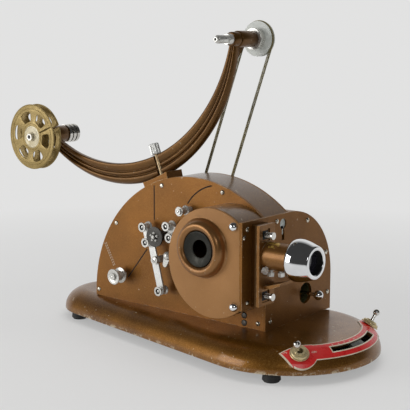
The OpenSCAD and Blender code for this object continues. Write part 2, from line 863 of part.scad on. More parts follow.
module sprocket() {
    disc_y = [roller_y0 - 1.2, roller_y0 + 0.6];
    drum_y = [disc_y[1], film + 5.2];
    pegs = 12;
    color(steel) {
        rod_y(sprocket_at, disc_y[0] - 2.4, inner_y1 + blind - 0.3, shaft_r);
        rod_y(sprocket_at, drum_y[0], lever_y0 - pass, sprocket_drum_r);
        rod_y(sprocket_at, lever_y0 - eps, drum_y[1], sprocket_drum_r - 1);
        for (i = [0 : pegs - 1])
            translate([sprocket_at[0], 0, sprocket_at[1]]) rotate([0, i * 360 / pegs, 0])
                block([sprocket_drum_r - 1.5, sprocket_drum_r + 0.7], [drum_y[0] + 0.9, drum_y[0] + 1.7], [-0.5, 0.5]);
    }
    color(dark)
    difference() {
        rod_y(sprocket_at, disc_y[0], disc_y[1], sprocket_disc_r);
        rod_y(sprocket_at, disc_y[0] - eps, disc_y[1] + eps, shaft_r / 2);
    }
}

module sprocket_gears() {
    color(brass)
    difference() {
        union() {
            gear(sprocket_at, feed_y, feed_teeth, feed_angle);
            rod_y(sprocket_at, feed_y[1] - eps, large_y[0] + eps, shaft_r + 3);
            gear(sprocket_at, large_y, large_teeth, main_angle);
        }
        rod_y(sprocket_at, feed_y[0] - eps, large_y[1] + eps, shaft_r + run);
    }
}

module takeup_gear() {
    color(brass)
    difference() {
        gear(drive_at, feed_y, takeup_teeth, feed_angle + 180 + 180 / takeup_teeth);
        rod_y(drive_at, feed_y[0] - eps, feed_y[1] + eps, shaft_r + run);
    }
}

// Grooved pulley for the round spring belt

module belt_pulley(at, bore_r) {
    turned_y(at, belt_y - pulley_w / 2) difference() {
        cylinder(h = pulley_w, r = pulley_r);
        translate([0, 0, pulley_w / 2]) rotate_extrude()
            translate([belt_r, 0]) circle(belt_coil_r + pass);
        translate([0, 0, -eps]) cylinder(h = pulley_w + 2 * eps, r = bore_r);
    }
}

module drive_pulley() {
    color(nickel) {
        rod_y(drive_at, inner_y0 - blind + 0.3, belt_y + pulley_w / 2 + 1, shaft_r);
        belt_pulley(drive_at, shaft_r - 0.5);
    }
}

module takeup_pulley() {
    color(nickel) belt_pulley(takeup_at, spindle_r + run);
}

collar_r = [5.2, 7];
collar_y = [-41.3, -35];
boss_front = -arm_y;
boss_back = 0;
ring_r = [10.7, 9.6];
ring_t = 3;

module takeup_spindle() {
    color(nickel) {
        rod_y(takeup_at, film - 9, belt_y + pulley_w / 2 + 3, spindle_r);
        turned_front(takeup_at, film - 9) cylinder(h = 2, r1 = spindle_r, r2 = spindle_r - 1.6);
        difference() {
            union() {
                rod_y(takeup_at, collar_y[0], collar_y[1], collar_r[0]);
                rod_y(takeup_at, collar_y[1] - eps, boss_front - pass, collar_r[1]);
                rod_y(takeup_at, boss_back + pass, boss_back + pass + ring_t, ring_r[0]);
                rod_y(takeup_at, boss_back + pass, belt_y - pulley_w / 2 - 0.2, ring_r[1]);
            }
            rod_y(takeup_at, collar_y[0] - eps, belt_y, spindle_r - 0.5);
        }
    }
}

// Spring belt: one unbroken coil of wire round both pulleys

belt_span = takeup_at - drive_at;
belt_d = norm(belt_span);
belt_u = belt_span / belt_d;
belt_n = [belt_u[1], -belt_u[0]];
belt_half = PI * belt_r;
belt_len = 2 * belt_d + 2 * belt_half;
coil_r = belt_coil_r - belt_wire_r;
curl_rings = 8;
belt_rings = belt_curls * curl_rings;
wire_sides = 6;

// Middle of the belt and the direction away from the loop, at a distance along it
function belt_out_dir(s) =
    s < belt_d ? belt_n :
    s < belt_d + belt_half ? belt_n * cos((s - belt_d) / belt_r * 180 / PI) + belt_u * sin((s - belt_d) / belt_r * 180 / PI) :
    s < 2 * belt_d + belt_half ? -belt_n :
    -belt_n * cos((s - 2 * belt_d - belt_half) / belt_r * 180 / PI)
        - belt_u * sin((s - 2 * belt_d - belt_half) / belt_r * 180 / PI);
function belt_mid(s) =
    s < belt_d ? drive_at + belt_r * belt_n + s * belt_u :
    s < belt_d + belt_half ? takeup_at + belt_r * belt_out_dir(s) :
    s < 2 * belt_d + belt_half ? takeup_at - belt_r * belt_n - (s - belt_d - belt_half) * belt_u :
    drive_at + belt_r * belt_out_dir(s);

function wrap(i, n) = i - n * floor(i / n);
function unit(v) = v / norm(v);
function coil_out(i) =
    let (s = wrap(i, belt_rings) / belt_rings * belt_len, a = i * 360 / curl_rings, o = belt_out_dir(s))
    [o[0] * cos(a), sin(a), o[1] * cos(a)];
function coil_at(i) =
    let (m = belt_mid(wrap(i, belt_rings) / belt_rings * belt_len))
    [m[0], belt_y, m[1]] + coil_r * coil_out(i);

function wire_ring(p, ahead_v, out_v, r) =
    let (t = unit(ahead_v), n = unit(out_v - (out_v * t) * t), b = cross(t, n))
    [for (j = [0 : wire_sides - 1]) p + r * (cos(j * 360 / wire_sides) * n + sin(j * 360 / wire_sides) * b)];

function tube_faces(rings, closed) = [
    for (i = [0 : rings - (closed ? 1 : 2)]) for (j = [0 : wire_sides - 1])
        let (k = wrap(i + 1, rings), m = wrap(j + 1, wire_sides), w = wire_sides)
        each [[i * w + j, k * w + m, k * w + j], [i * w + j, i * w + m, k * w + m]]
];

coil_points = [for (i = [0 : belt_rings - 1]) coil_at(i)];
belt_least = min([for (i = [0 : belt_rings - 1]) for (k = [5 : 11])
    norm(coil_points[i] - coil_points[wrap(i + k, belt_rings)])]) - 2 * belt_wire_r;

module spring_belt() {
    echo("spring belt, least gap between curls", belt_least);
    color([0.35, 0.31, 0.2])
    polyhedron(
        points = [for (i = [0 : belt_rings - 1])
            each wire_ring(coil_points[i], coil_at(i + 1) - coil_at(i - 1), coil_out(i), belt_wire_r)],
        faces = tube_faces(belt_rings, true));
}

// Lamp house

module lamp_outline(r, x_max) {
    intersection() {
        translate([lamp_x, lamp_z]) circle(r);
        translate([lamp_x - 2 * lamp_r, lamp_z - 2 * lamp_r]) square([x_max - lamp_x + 2 * lamp_r, 4 * lamp_r]);
    }
}

lid_t = 2.5;
lid_y = front_y + lid_t;

module lamp_house() {
    color(bronze)
    slab_y(lid_y, -plate_y) difference() {
        lamp_outline(lamp_r, wall_x);
        translate([lamp_x, lamp_z]) circle(lamp_r - lamp_wall);
    }
}

module lamp_cover() {
    crown = 2;
    color(bronze)
    difference() {
        union() {
            slab_y(front_y, lid_y) lamp_outline(lamp_r, wall_x);
            turned_front([vent_x, vent_z], front_y + lid_t / 2) rotate_extrude()
                polygon(concat([[mouth_r - 1, 0], [vent_r, 0], [vent_r, lid_t / 2]],
                    [for (t = [0 : 10 : 90])
                        [mouth_r + crown + (vent_r - mouth_r - crown) * cos(t), lid_t / 2 + vent_rise * sin(t)]],
                    [[mouth_r - 1, lid_t / 2 + vent_rise]]));
        }
        rod_y([vent_x, vent_z], front_y - vent_rise - eps, lid_y + eps, mouth_r);
    }
}

module vent_disc() {
    disc_r = mouth_r - 0.2;
    color([0.3, 0.31, 0.3])
    turned_y([vent_x, vent_z], front_y - vent_rise + 2) rotate_extrude()
        polygon([[disc_r, 0], [disc_r, 6], [disc_r - 1.5, 6], [disc_r - 1.5, 1.5], [vent_hole_r, 5], [vent_hole_r, 3.2]]);
}

dome_nuts = [[lamp_x + 28, lamp_z + 39.3], [lamp_x + 28.9, lamp_z - 38.2]];

module cover_nuts() {
    color(nickel)
    for (p = dome_nuts) turned_front(p, front_y) button_head(4.6, 5);
}

bulb_at = [lamp_x - 16, film];
bulb_r = 9;
bulb_base_r = 7;
socket_r = 9;
socket_low = optic_z - 46;
socket_top = optic_z - 28;

module lamp_socket() {
    color(brass)
    difference() {
        union() {
            translate([bulb_at[0], bulb_at[1], socket_low]) cylinder(h = socket_top - socket_low, r = socket_r);
            block([bulb_at[0] - 7, bulb_at[0] + 7], [bulb_at[1], -plate_y], [socket_low + 2, socket_top - 4]);
        }
        translate([bulb_at[0], bulb_at[1], socket_low + 3]) cylinder(h = socket_top, r = bulb_base_r + run);
    }
}

module lamp_bulb() {
    color([0.85, 0.88, 0.9, 0.5])
    translate([bulb_at[0], bulb_at[1], 0]) rotate_extrude()
        polygon(concat([[0, socket_low + 3], [bulb_base_r, socket_low + 3], [bulb_base_r, socket_top + 2],
            [bulb_r, socket_top + 8]],
            [for (t = [0 : 15 : 75]) [bulb_r * cos(t), optic_z + 14 + bulb_r * sin(t)]], [[0, optic_z + 14 + bulb_r]]));
}

condenser_x = [shutter_at[0] - shutter_r - 6.5, shutter_at[0] - shutter_r - 1.5];
condenser_r = 8.5;

module condenser() {
    color([0.8, 0.9, 0.95, 0.5]) rod_x(film, optic_z, condenser_x[0], condenser_x[1], condenser_r);
}

module condenser_ring() {
    color(steel)
    difference() {
        union() {
            rod_x(film, optic_z, condenser_x[0] - 0.5, condenser_x[1] + 0.5, condenser_r + 2);
            block([condenser_x[0] - 0.5, condenser_x[1] + 0.5], [film, -plate_y], [optic_z - 4, optic_z + 4]);
        }
        rod_x(film, optic_z, condenser_x[0] - eps, condenser_x[1] + eps, condenser_r + run);
    }
}

// Film gate and lens

gate_y0 = film - 11;
gate_y1 = film + 9;
gate_low = lamp_low + 2;
gate_high = front_top - 4;
gate_round = gate_t / 2;

module film_gate() {
    color([0.13, 0.09, 0.06])
    difference() {
        translate([0, 0, gate_low]) linear_extrude(gate_high - gate_low) {
            translate([front_x, gate_y0]) square([gate_t - gate_round, gate_y1 - gate_y0]);
            translate([front_x, gate_y0 + gate_round]) square([gate_t, gate_y1 - gate_y0 - 2 * gate_round]);
            for (y = [gate_y0 + gate_round, gate_y1 - gate_round])
                translate([gate_x - gate_round, y]) circle(gate_round);
        }
        claw_slot(front_x - eps, gate_x + eps);
        light_hole(front_x - eps, gate_x + eps);
        for (z = stud_z) rod_x(stud_y, z, gate_x - 4, gate_x + eps, stud_r);
    }
}

module gate_studs() {
    color(nickel)
    for (z = stud_z) {
        rod_x(stud_y, z, gate_x - 4, stud_head_x + 1, stud_r);
        rod_x(stud_y, z, stud_head_x, stud_head_x + 1.8, stud_r + 1.9);
    }
}

spring_turns = 5;
spring_r = 2.6;
spring_wire_r = 0.35;
spring_rings = spring_turns * curl_rings + 1;
spring_x0 = carrier_face - recess_d + film_gap + spring_wire_r;
spring_x1 = stud_head_x - film_gap - spring_wire_r;
function spring_dir(i) = [0, cos(i * 360 / curl_rings), sin(i * 360 / curl_rings)];
function spring_at(i) = [spring_x0 + (spring_x1 - spring_x0) * i / (spring_rings - 1), 0, 0] + spring_r * spring_dir(i);
spring_points = [for (i = [0 : spring_rings - 1]) spring_at(i)];
spring_least = min([for (i = [0 : spring_rings - 6]) for (k = [5 : 11])
    norm(spring_at(i) - spring_at(i + k))]) - 2 * spring_wire_r;

module gate_springs() {
    echo("gate spring, least gap between curls", spring_least);
    color(nickel)
    for (z = stud_z) translate([0, stud_y, z])
        polyhedron(
            points = [for (i = [0 : spring_rings - 1])
                each wire_ring(spring_points[i], spring_at(i + 1) - spring_at(i - 1), spring_dir(i), spring_wire_r)],
            faces = concat(tube_faces(spring_rings, false), [
                for (j = [1 : wire_sides - 2]) each [
                    [0, j + 1, j],
                    [(spring_rings - 1) * wire_sides, (spring_rings - 1) * wire_sides + j,
                        (spring_rings - 1) * wire_sides + j + 1]
                ]
            ]));
}

module lens_carrier() {
    shelf_y = [film - 9, film + 12];
    color(bronze)
    difference() {
        union() {
            block([carrier_x, carrier_face], [carrier_y0, carrier_y1], [carrier_low, carrier_top]);
            rod_x(film, optic_z, carrier_face - 1, tube_end, tube_r);
            block([gate_x + film_gap, carrier_x + 1], [film - 4.2, film + 4.2], [optic_z - 14, optic_z + 14]);
            slab_y(shelf_y[0], shelf_y[1])
                translate([carrier_face - 1, carrier_low + 16])
                    polygon([[0, 0], [10, 2], [20, 6], [20, 8.6], [9, 5], [0, 3]]);
        }
        rod_x(film, optic_z, gate_x + film_gap + pad_t, tube_end + eps, tube_bore_r);
        rod_x(film, optic_z, gate_x - eps, carrier_x + eps, light_w / 2);
        for (z = stud_z) {
            rod_x(stud_y, z, carrier_x - eps, carrier_face + eps, stud_r + run);
            block([carrier_face - recess_d, carrier_face + eps], [stud_y - 6, stud_y + 6], [z - 6, z + 6]);
        }
    }
}

clamp_places = [[4, 225], [4, 262], [12, 281]];

module clamp_screws() {
    color(nickel)
    for (q = clamp_places)
        translate([carrier_face + q[0], film, optic_z]) rotate([q[1] - 90, 0, 0]) {
            translate([0, 0, tube_r]) cylinder(h = 3, r = 1.8);
            translate([0, 0, tube_r + 2]) cylinder(h = 4, r = 3.4, $fn = 6);
        }
}

glass_x = barrel_x + barrel_len - 9;
glass_t = 4;

module lens_barrel() {
    rim_r = barrel_bore_r + 4;
    color([0.85, 0.86, 0.88])
    difference() {
        union() {
            turned_x(film, optic_z, barrel_x) rotate_extrude()
                polygon([[0, 0], [barrel_r - 2.3, 0], [barrel_r - 0.6, 1.6], [barrel_r, 4.5], [barrel_r - 0.3, 8],
                    [barrel_r - 1.4, 13], [barrel_r - 2.8, 18], [rim_r + 0.6, barrel_len - 1.5],
                    [rim_r, barrel_len - 0.4], [rim_r - 0.8, barrel_len], [0, barrel_len]]);
            rod_x(film, optic_z, carrier_face + focus_travel + 4, barrel_x + bell_depth + 2, sleeve_r);
        }
        difference() {
            rod_x(film, optic_z, barrel_x - eps, barrel_x + bell_depth, bell_bore_r);
            rod_x(film, optic_z, barrel_x - 2 * eps, barrel_x + bell_depth + eps, sleeve_r);
        }
        rod_x(film, optic_z, carrier_face, glass_x + 0.2, sleeve_r - 2);
        rod_x(film, optic_z, glass_x, barrel_x + barrel_len + eps, barrel_bore_r);
    }
}

module lens_glass() {
    color([0.3, 0.33, 0.4, 0.6]) rod_x(film, optic_z, glass_x + 0.05, glass_x + glass_t, barrel_bore_r - run);
}

module claw() {
    claw_x = [wall_x - 4.4, wall_x - 2];
    color(steel)
    difference() {
        union() {
            block(claw_x, [claw_y - 3, claw_y + 3], [claw_guides[0] - 6, claw_guides[1] + 6]);
            block([claw_x[0], gate_x], [finger_y - 0.6, finger_y + 0.6], [claw_z - 1, claw_z + 1]);
        }
        for (z = claw_guides) {
            block([claw_x[0] - eps, claw_x[1] + eps], [claw_y - guide_pin_r - run, claw_y + guide_pin_r + run],
                [z - claw_stroke, z + claw_stroke]);
            for (s = [-claw_stroke, claw_stroke])
                rod_x(claw_y, z + s, claw_x[0] - eps, claw_x[1] + eps, guide_pin_r + run);
        }
    }
}

// Rollers, posts and levers on the mechanism plate

module roller_pair(at) {
    hub = roller_r - 1.4;
    rod_y(at, roller_y0, lever_y0 - pass / 2, hub);
    rod_y(at, roller_y0, roller_y0 + 1.6, roller_r);
    rod_y(at, lever_y0 - eps, lever_y1 + eps, pin_r);
    rod_y(at, lever_y1 + pass / 2, roller_y1, hub);
    rod_y(at, roller_y1 - 1.6, roller_y1, roller_r);
}

module spool(at, r, core) {
    difference() {
        union() {
            rod_y(at, roller_y0, roller_y1, core);
            rod_y(at, roller_y0, roller_y0 + 1.8, r);
            rod_y(at, roller_y1 - 1.8, roller_y1, r);
        }
        rod_y(at, roller_y0 - eps, roller_y1 + eps, pin_r + run);
    }
}

module roller_a() {
    color(nickel) roller_pair(roller_a);
}

module roller_b() {
    color(nickel) roller_pair(roller_b);
}

module roller_c() {
    color(nickel) roller_pair(roller_c);
}

module roller_d() {
    color(nickel) roller_pair(roller_d);
}

module foot_roller() {
    color(nickel) roller_pair(lever_foot);
}

module feed_roller() {
    color(nickel) spool(feed_at, roller_r, roller_core_r);
}

module guide_roller() {
    color(nickel) spool(guide_at, guide_r, guide_r - 3);
}

module bar(p, q, w) {
    hull() {
        translate(p) circle(w / 2, $fn = 32);
        translate(q) circle(w / 2, $fn = 32);
    }
}

module keeper_lever() {
    color([0.82, 0.82, 0.8])
    difference() {
        slab_y(lever_y0, lever_y1) {
            bar(lever_foot, lever_neck, lever_w);
            bar(lever_neck, roller_b, lever_w - 1.5);
            bar(roller_b, roller_a, lever_w - 1.5);
        }
        for (p = [roller_a, roller_b, lever_foot]) rod_y(p, lever_y0 - eps, lever_y1 + eps, pin_r + run);
        rod_y(lever_pivot, lever_y0 - eps, lever_y1 + eps, pin_r + 0.6 + run);
    }
}

module stud_post(at, y_end) {
    rod_y(at, y_end, -plate_y, pin_r);
    rod_y(at, roller_y1 + pass, -plate_y, post_r);
}

module roller_posts() {
    color(nickel) {
        for (p = [feed_at, guide_at]) {
            stud_post(p, roller_y0 - 1.6);
            rod_y(p, roller_y0 - 1.6, roller_y0 - pass, pin_r + 1.2);
        }
        rod_y(lever_pivot, lever_y1 + pass / 2, -plate_y, post_r + 0.8);
        rod_y(lever_pivot, lever_y0 - 2, lever_y1 + eps, pin_r + 0.6);
        rod_y(lever_pivot, lever_y0 - 2.6, lever_y0 - pass / 2, 4.2);
        rod_y(latch_at, film + 3, -plate_y, post_r - 0.6);
        rod_y(keeper_post, lever_y1 - 0.5, -plate_y, 2.4);
        difference() {
            slab_y(lever_y0, lever_y1) hull() {
                for (p = [roller_c, roller_d, keeper_post]) translate(p) circle(3.4, $fn = 32);
            }
            for (p = [roller_c, roller_d]) rod_y(p, lever_y0 - eps, lever_y1 + eps, pin_r + run);
        }
    }
}

module latch() {
    tab = latch_at + [-3.4, -9.6];
    latch_y = [film - 2, film + 5];
    color(nickel)
    difference() {
        union() {
            slab_y(latch_y[0], latch_y[0] + 2.2) hull() {
                translate(latch_at) circle(4.4, $fn = 32);
                translate(tab) circle(2.6, $fn = 32);
            }
            rod_y(latch_at, latch_y[0], latch_y[1], 4.4);
            turned_front(latch_at, latch_y[0]) button_head(4.4, 3.4);
        }
        rod_y(latch_at, film + 3 - pass, latch_y[1] + eps, post_r - 0.6 + run);
    }
}

lamp_screw_gap = 5;
lamp_way = [lamp_x, lamp_z] - arch_c;

function beside_lamp(r) = atan2(lamp_way[1], lamp_way[0])
    + acos(min(1, (lamp_way * lamp_way + r * r - pow(lamp_r + lamp_screw_gap, 2)) / (2 * norm(lamp_way) * r)));

rim_screws = [[143.1, 5.4], [178.8, 4.2], [108, 5.6], [max(73.2, beside_lamp(arch_r - 5.9)), 5.9]];
side_screws = concat([for (s = rim_screws) arch_c + (arch_r - s[1]) * ahead(s[0])], [[wall_x - 5.8, base_top + 6.4]]);
front_screws = [
    [-17.5, front_top - 6.3], [35.8, front_top - 12.4], [70.8, base_top + 62.2], [74.8, base_top + 19],
    [-27, base_top + 8]
];
strip_screws = [
    [front_y + 8, front_top - 7.3], [front_y + 3.6, front_top - 14.9], [front_y + 8.8, lamp_low + 6.6]
];
screw_head_r = 2.5;
screw_head_h = 1.5;

module plate_screws() {
    color(brass) {
        for (p = side_screws) turned_front(p, -plate_y) button_head(screw_head_r, screw_head_h);
        for (p = concat(front_screws, strip_screws)) turned_x(p[0], p[1], front_x) button_head(screw_head_r, screw_head_h);
    }
}

// Crescent reel arm

module arm_outline() {
    reach = 2 * arm_low_r;
    intersection() {
        difference() {
            translate(arm_c) circle(arm_low_r, $fn = large_fn);
            translate(arm_up_c) circle(arm_high_r, $fn = large_fn);
        }
        polygon([arm_c, arm_c + reach * unit(supply_at - arm_c), arm_c + [0, -reach],
            arm_c + [reach, -reach], arm_c + reach * unit(takeup_at - arm_c)]);
    }
}

edge_cut = 0.9;
groove_r = 1.2;

module arm_groove(f) {
    c = arm_c + f * (arm_up_c - arm_c);
    r = arm_low_r + f * (arm_high_r - arm_low_r);
    turned_y(c, arm_y0) rotate_extrude() translate([r, 0]) circle(groove_r);
}

// Rings that take off the arm's lower edges

module arm_edge(y, way) {
    turned_y(arm_c, y) rotate_extrude()
        polygon([[arm_low_r - edge_cut, 0], [arm_low_r + edge_cut, way * 2 * edge_cut], [arm_low_r + edge_cut, -way],
            [arm_low_r - edge_cut, -way]]);
}

module along_clamp() {
    translate([arch_x, 0, arch_z]) rotate([0, -clamp_angle, 0]) children();
}

clamp_half = 12;
clamp_back = 7;
clamp_z = [7, 18];
supply_back = -3;

module reel_arm() {
    color(bronze)
    difference() {
        union() {
            difference() {
                slab_y(arm_y0, arm_y1) arm_outline();
                arm_groove(0.34);
                arm_groove(0.67);
                arm_edge(arm_y0, 1);
                arm_edge(arm_y1, -1);
            }
            along_clamp() block([-clamp_half, clamp_half], [arm_y1 - 1, arm_y1 + clamp_back],
                [clamp_r + clamp_z[0], clamp_r + clamp_z[1]]);
            rod_y(supply_at, arm_y0, supply_back, supply_boss_r);
            rod_y(takeup_at, boss_front, boss_back, boss_r);
        }
        rod_y(supply_at, arm_y0 - eps, supply_back + eps, spindle_r + run);
        rod_y(takeup_at, boss_front - eps, boss_back + eps, spindle_r + run);
        along_clamp() block([-screw_r - 1, screw_r + 1], [arm_y0 - eps, screw_y + screw_r + 1],
            [clamp_r - 6, knob_high + 10]);
    }
}

module arm_saddle() {
    half = 7;
    color(bronze)
    difference() {
        slab_y(-plate_y, arm_y1 + clamp_back) intersection() {
            difference() {
                translate(arch_c) circle(clamp_r + 6, $fn = large_fn);
                translate(arch_c) circle(arch_r + 0.05, $fn = large_fn);
                translate(arm_c) circle(arm_low_r + 0.2, $fn = large_fn);
            }
            polygon([arch_c, arch_c + 2 * arch_r * left_of_up(clamp_angle + half),
                arch_c + 2 * arch_r * left_of_up(clamp_angle - half)]);
        }
        along_clamp() translate([0, screw_y, arch_r - eps]) cylinder(h = 3 * saddle_rise, r = screw_r + run);
    }
}

module thumbscrew() {
    color(nickel)
    along_clamp() translate([0, screw_y, 0]) {
        translate([0, 0, arch_r + 0.6]) cylinder(h = knob_low - arch_r, r = screw_r);
        difference() {
            translate([0, 0, knob_low]) cylinder(h = knob_high - knob_low, r = knob_r);
            for (a = [0 : 30 : 330]) rotate([0, 0, a])
                translate([knob_r + 0.4, 0, knob_low + 2]) cylinder(h = knob_high - knob_low - 4, r = 0.9);
        }
    }
}

// Reel and its spindle

reel_y0 = film - 5.5;
reel_y1 = film + 5.5;

module supply_spindle() {
    nut_y = [supply_back + pass, supply_back + pass + 15.2];
    disc_t = 3.9;
    disc_step = (nut_y[1] - nut_y[0] - disc_t) / 2;
    color(nickel) {
        rod_y(supply_at, reel_y0 - 4, nut_y[1], spindle_r);
        difference() {
            union() {
                rod_y(supply_at, reel_y1 + 0.2, arm_y0 - pass, supply_boss_r - 2);
                for (i = [0 : 2])
                    rod_y(supply_at, nut_y[0] + disc_step * i, nut_y[0] + disc_step * i + disc_t, supply_boss_r + 0.7);
                rod_y(supply_at, nut_y[0], nut_y[1], supply_boss_r - 2.5);
            }
            rod_y(supply_at, reel_y1, nut_y[1] + eps, spindle_r - 0.5);
        }
    }
}

window_turn = -8;

module reel_flange(y0) {
    hole_mid = (reel_hub_r + reel_r) / 2 + 0.5;
    hole_r = (reel_r - reel_hub_r) / 2 - 4.2;
    slab_y(y0, y0 + flange_t) difference() {
        translate(supply_at) circle(reel_r);
        for (i = [0 : 5]) translate(supply_at) rotate(window_turn + 60 * i) {
            for (s = [-1, 1]) translate([hole_mid, s * 2.6]) circle(hole_r);
            translate([hole_mid - hole_r, -2.6]) square([2 * hole_r, 5.2]);
        }
        translate(supply_at) rotate(window_turn + 30) translate([reel_hub_r - 4, -0.7]) square([reel_r, 1.4]);
    }
}

module supply_reel() {
    color([0.75, 0.62, 0.3])
    difference() {
        union() {
            reel_flange(reel_y0);
            reel_flange(reel_y1 - flange_t);
            rod_y(supply_at, reel_y0, reel_y1, reel_hub_r);
        }
        rod_y(supply_at, reel_y0 - eps, reel_y1 + eps, spindle_r + run);
    }
}

base_shell();
base_cover();
rubber_feet();
control_plate();
toggle_switches();
rheostat();
cord_gland();
side_plate();
arch_rim();
back_plate();
front_plate();
motor_housing();
motor_stator();
motor_rotor();
inner_belts();
main_shaft();
shutter();
sprocket();
sprocket_gears();
drive_pulley();
takeup_gear();
lamp_house();
lamp_cover();
vent_disc();
cover_nuts();
lamp_socket();
lamp_bulb();
condenser();
condenser_ring();
film_gate();
gate_studs();
gate_springs();
lens_carrier();
clamp_screws();
lens_barrel();
lens_glass();
claw();
framing_lever();
roller_posts();
keeper_lever();
roller_a();
roller_b();
foot_roller();
roller_c();
roller_d();
feed_roller();
guide_roller();
latch();
plate_screws();
reel_arm();
arm_saddle();
thumbscrew();
supply_spindle();
supply_reel();
takeup_spindle();
takeup_pulley();
spring_belt();
lamp_toggle();
motor_toggle();
speed_slider();
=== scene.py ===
import bpy
import math
from mathutils import Matrix, Vector


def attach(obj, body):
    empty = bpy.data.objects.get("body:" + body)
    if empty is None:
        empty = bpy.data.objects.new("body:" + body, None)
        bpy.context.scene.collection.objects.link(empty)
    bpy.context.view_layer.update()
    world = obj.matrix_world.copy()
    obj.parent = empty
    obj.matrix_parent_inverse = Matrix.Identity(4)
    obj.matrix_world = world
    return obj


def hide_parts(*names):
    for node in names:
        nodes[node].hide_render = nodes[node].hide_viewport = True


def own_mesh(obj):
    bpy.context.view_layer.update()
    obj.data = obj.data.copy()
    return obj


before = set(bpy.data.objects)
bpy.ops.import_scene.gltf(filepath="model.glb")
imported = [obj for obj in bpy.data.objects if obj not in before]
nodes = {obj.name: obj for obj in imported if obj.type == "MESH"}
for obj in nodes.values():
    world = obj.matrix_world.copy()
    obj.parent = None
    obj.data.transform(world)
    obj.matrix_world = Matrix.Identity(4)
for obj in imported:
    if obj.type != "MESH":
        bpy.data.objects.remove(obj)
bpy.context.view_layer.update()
scene = bpy.context.scene
mm = 0.001  # sizes are in millimetres, the studio's in metres

# camera at the photograph's viewing angle
shot = {"place": (713.9, -841.5, 325.0), "target": (26.7, -5.0, 143.6), "lens": 92.57, "sensor": 36.0,
        "far": 50}
print("stage: camera")
cameraData = bpy.data.cameras.new("camera")
cameraData.lens = shot["lens"]
cameraData.sensor_width = shot["sensor"]
cameraData.clip_end = shot["far"]
camera = bpy.data.objects.new("camera", cameraData)
scene.collection.objects.link(camera)
camera.location = Vector(shot["place"]) * mm
aim = (Vector(shot["target"]) - Vector(shot["place"])).to_track_quat("-Z", "Y")
camera.rotation_euler = aim.to_euler()
scene.camera = camera
scene.view_settings.view_transform = "Standard"

# places of the frame that several pieces share, as (X, Z) where there are two
sideFace = -35.0  # front of the side plate, along Y
frontFace = 127.4  # front plate, along X
archAt, archR = (35.0, 36.7), 140.0
supplyAt, takeupAt = (-186.244, 204.765), (82.807, 314.815)
guideAt, feedAt = (-61.4, 62.3), (31.9, 143.6)
studY, studHeights = -52.0, (74.0, 133.0)


# small tools for the modelling below
def clearSelection():
    if bpy.context.object and bpy.context.object.mode != "OBJECT":
        bpy.ops.object.mode_set(mode="OBJECT")
    bpy.ops.object.select_all(action="DESELECT")


def pick(obj):
    clearSelection()
    obj.select_set(True)
    bpy.context.view_layer.objects.active = obj


def addMesh(name, points, edges=(), faces=()):
    mesh = bpy.data.meshes.new(name)
    mesh.from_pydata([Vector(p) * mm for p in points], list(edges), list(faces))
    mesh.update()
    obj = bpy.data.objects.new(name, mesh)
    scene.collection.objects.link(obj)
    return obj


def mergeAndTurnOut(obj):
    pick(obj)
    bpy.ops.object.mode_set(mode="EDIT")
    bpy.ops.mesh.select_all(action="SELECT")
    bpy.ops.mesh.remove_doubles(threshold=0.000002)
    bpy.ops.mesh.normals_make_consistent(inside=False)
    bpy.ops.object.mode_set(mode="OBJECT")


def shift(x, y, z):
    return Matrix.Translation(Vector((x, y, z)) * mm)


def stretch(x, y, z):
    return Matrix.Diagonal((x * mm, y * mm, z * mm, 1))


# a block: the cube of one metre is brought to its size and place by one matrix
def block(name, place):
    clearSelection()
    bpy.ops.mesh.primitive_cube_add(size=1, location=(0, 0, 0))
    cube = bpy.context.object
    cube.name = name
    cube.data.transform(place)
    return cube


def rod(radius, depth, at, axis, sides):
    clearSelection()
    bpy.ops.mesh.primitive_cylinder_add(vertices=sides, radius=radius * mm, depth=depth * mm,
                                        location=Vector(at) * mm,
                                        rotation=Vector(axis).to_track_quat("Z", "Y").to_euler())
    return bpy.context.object


# a turned piece: the profile is (radius, distance along the axis) from its centre
def turnOnLathe(name, profile, centre, axis, steps):
    axis = Vector(axis).normalized()
    side = axis.orthogonal().normalized()
    centre = Vector(centre)
    obj = addMesh(name, [centre + side * r + axis * h for r, h in profile],
                  [(i, i + 1) for i in range(len(profile) - 1)])
    pick(obj)
    bpy.ops.object.mode_set(mode="EDIT")
    bpy.ops.mesh.select_all(action="SELECT")
    bpy.ops.mesh.spin(steps=steps, angle=2 * math.pi, center=centre * mm, axis=axis)
    bpy.ops.object.mode_set(mode="OBJECT")
    mergeAndTurnOut(obj)
    return obj


# points on a quarter round, with angles in degrees, for turned profiles
def quarter(centre, width, height, first, last, count):
    angles = [math.radians(first + (last - first) * i / count) for i in range(count + 1)]
    return [(centre[0] + width * math.cos(a), centre[1] + height * math.sin(a)) for a in angles]


# points on an arc in (X, Z), with angles in radians
def arc(centre, r, first, last, count):
    angles = [first + (last - first) * i / count for i in range(count + 1)]
    return [(centre[0] + r * math.cos(a), centre[1] + r * math.sin(a)) for a in angles]


def circle(centre, r, count):
    return arc(centre, r, 0, 2 * math.pi, count)[:-1]


def atDepth(points, y):
    return [(x, y, z) for x, z in points]


# four-sided faces between each ring in rows and the next, for rings of one size
def stitch(rows, size, total):
    faces = []
    for k in rows:
        here, after = k * size, (k + 1) % total * size
        faces += [(here + i, here + (i + 1) % size, after + (i + 1) % size, after + i)
                  for i in range(size)]
    return faces


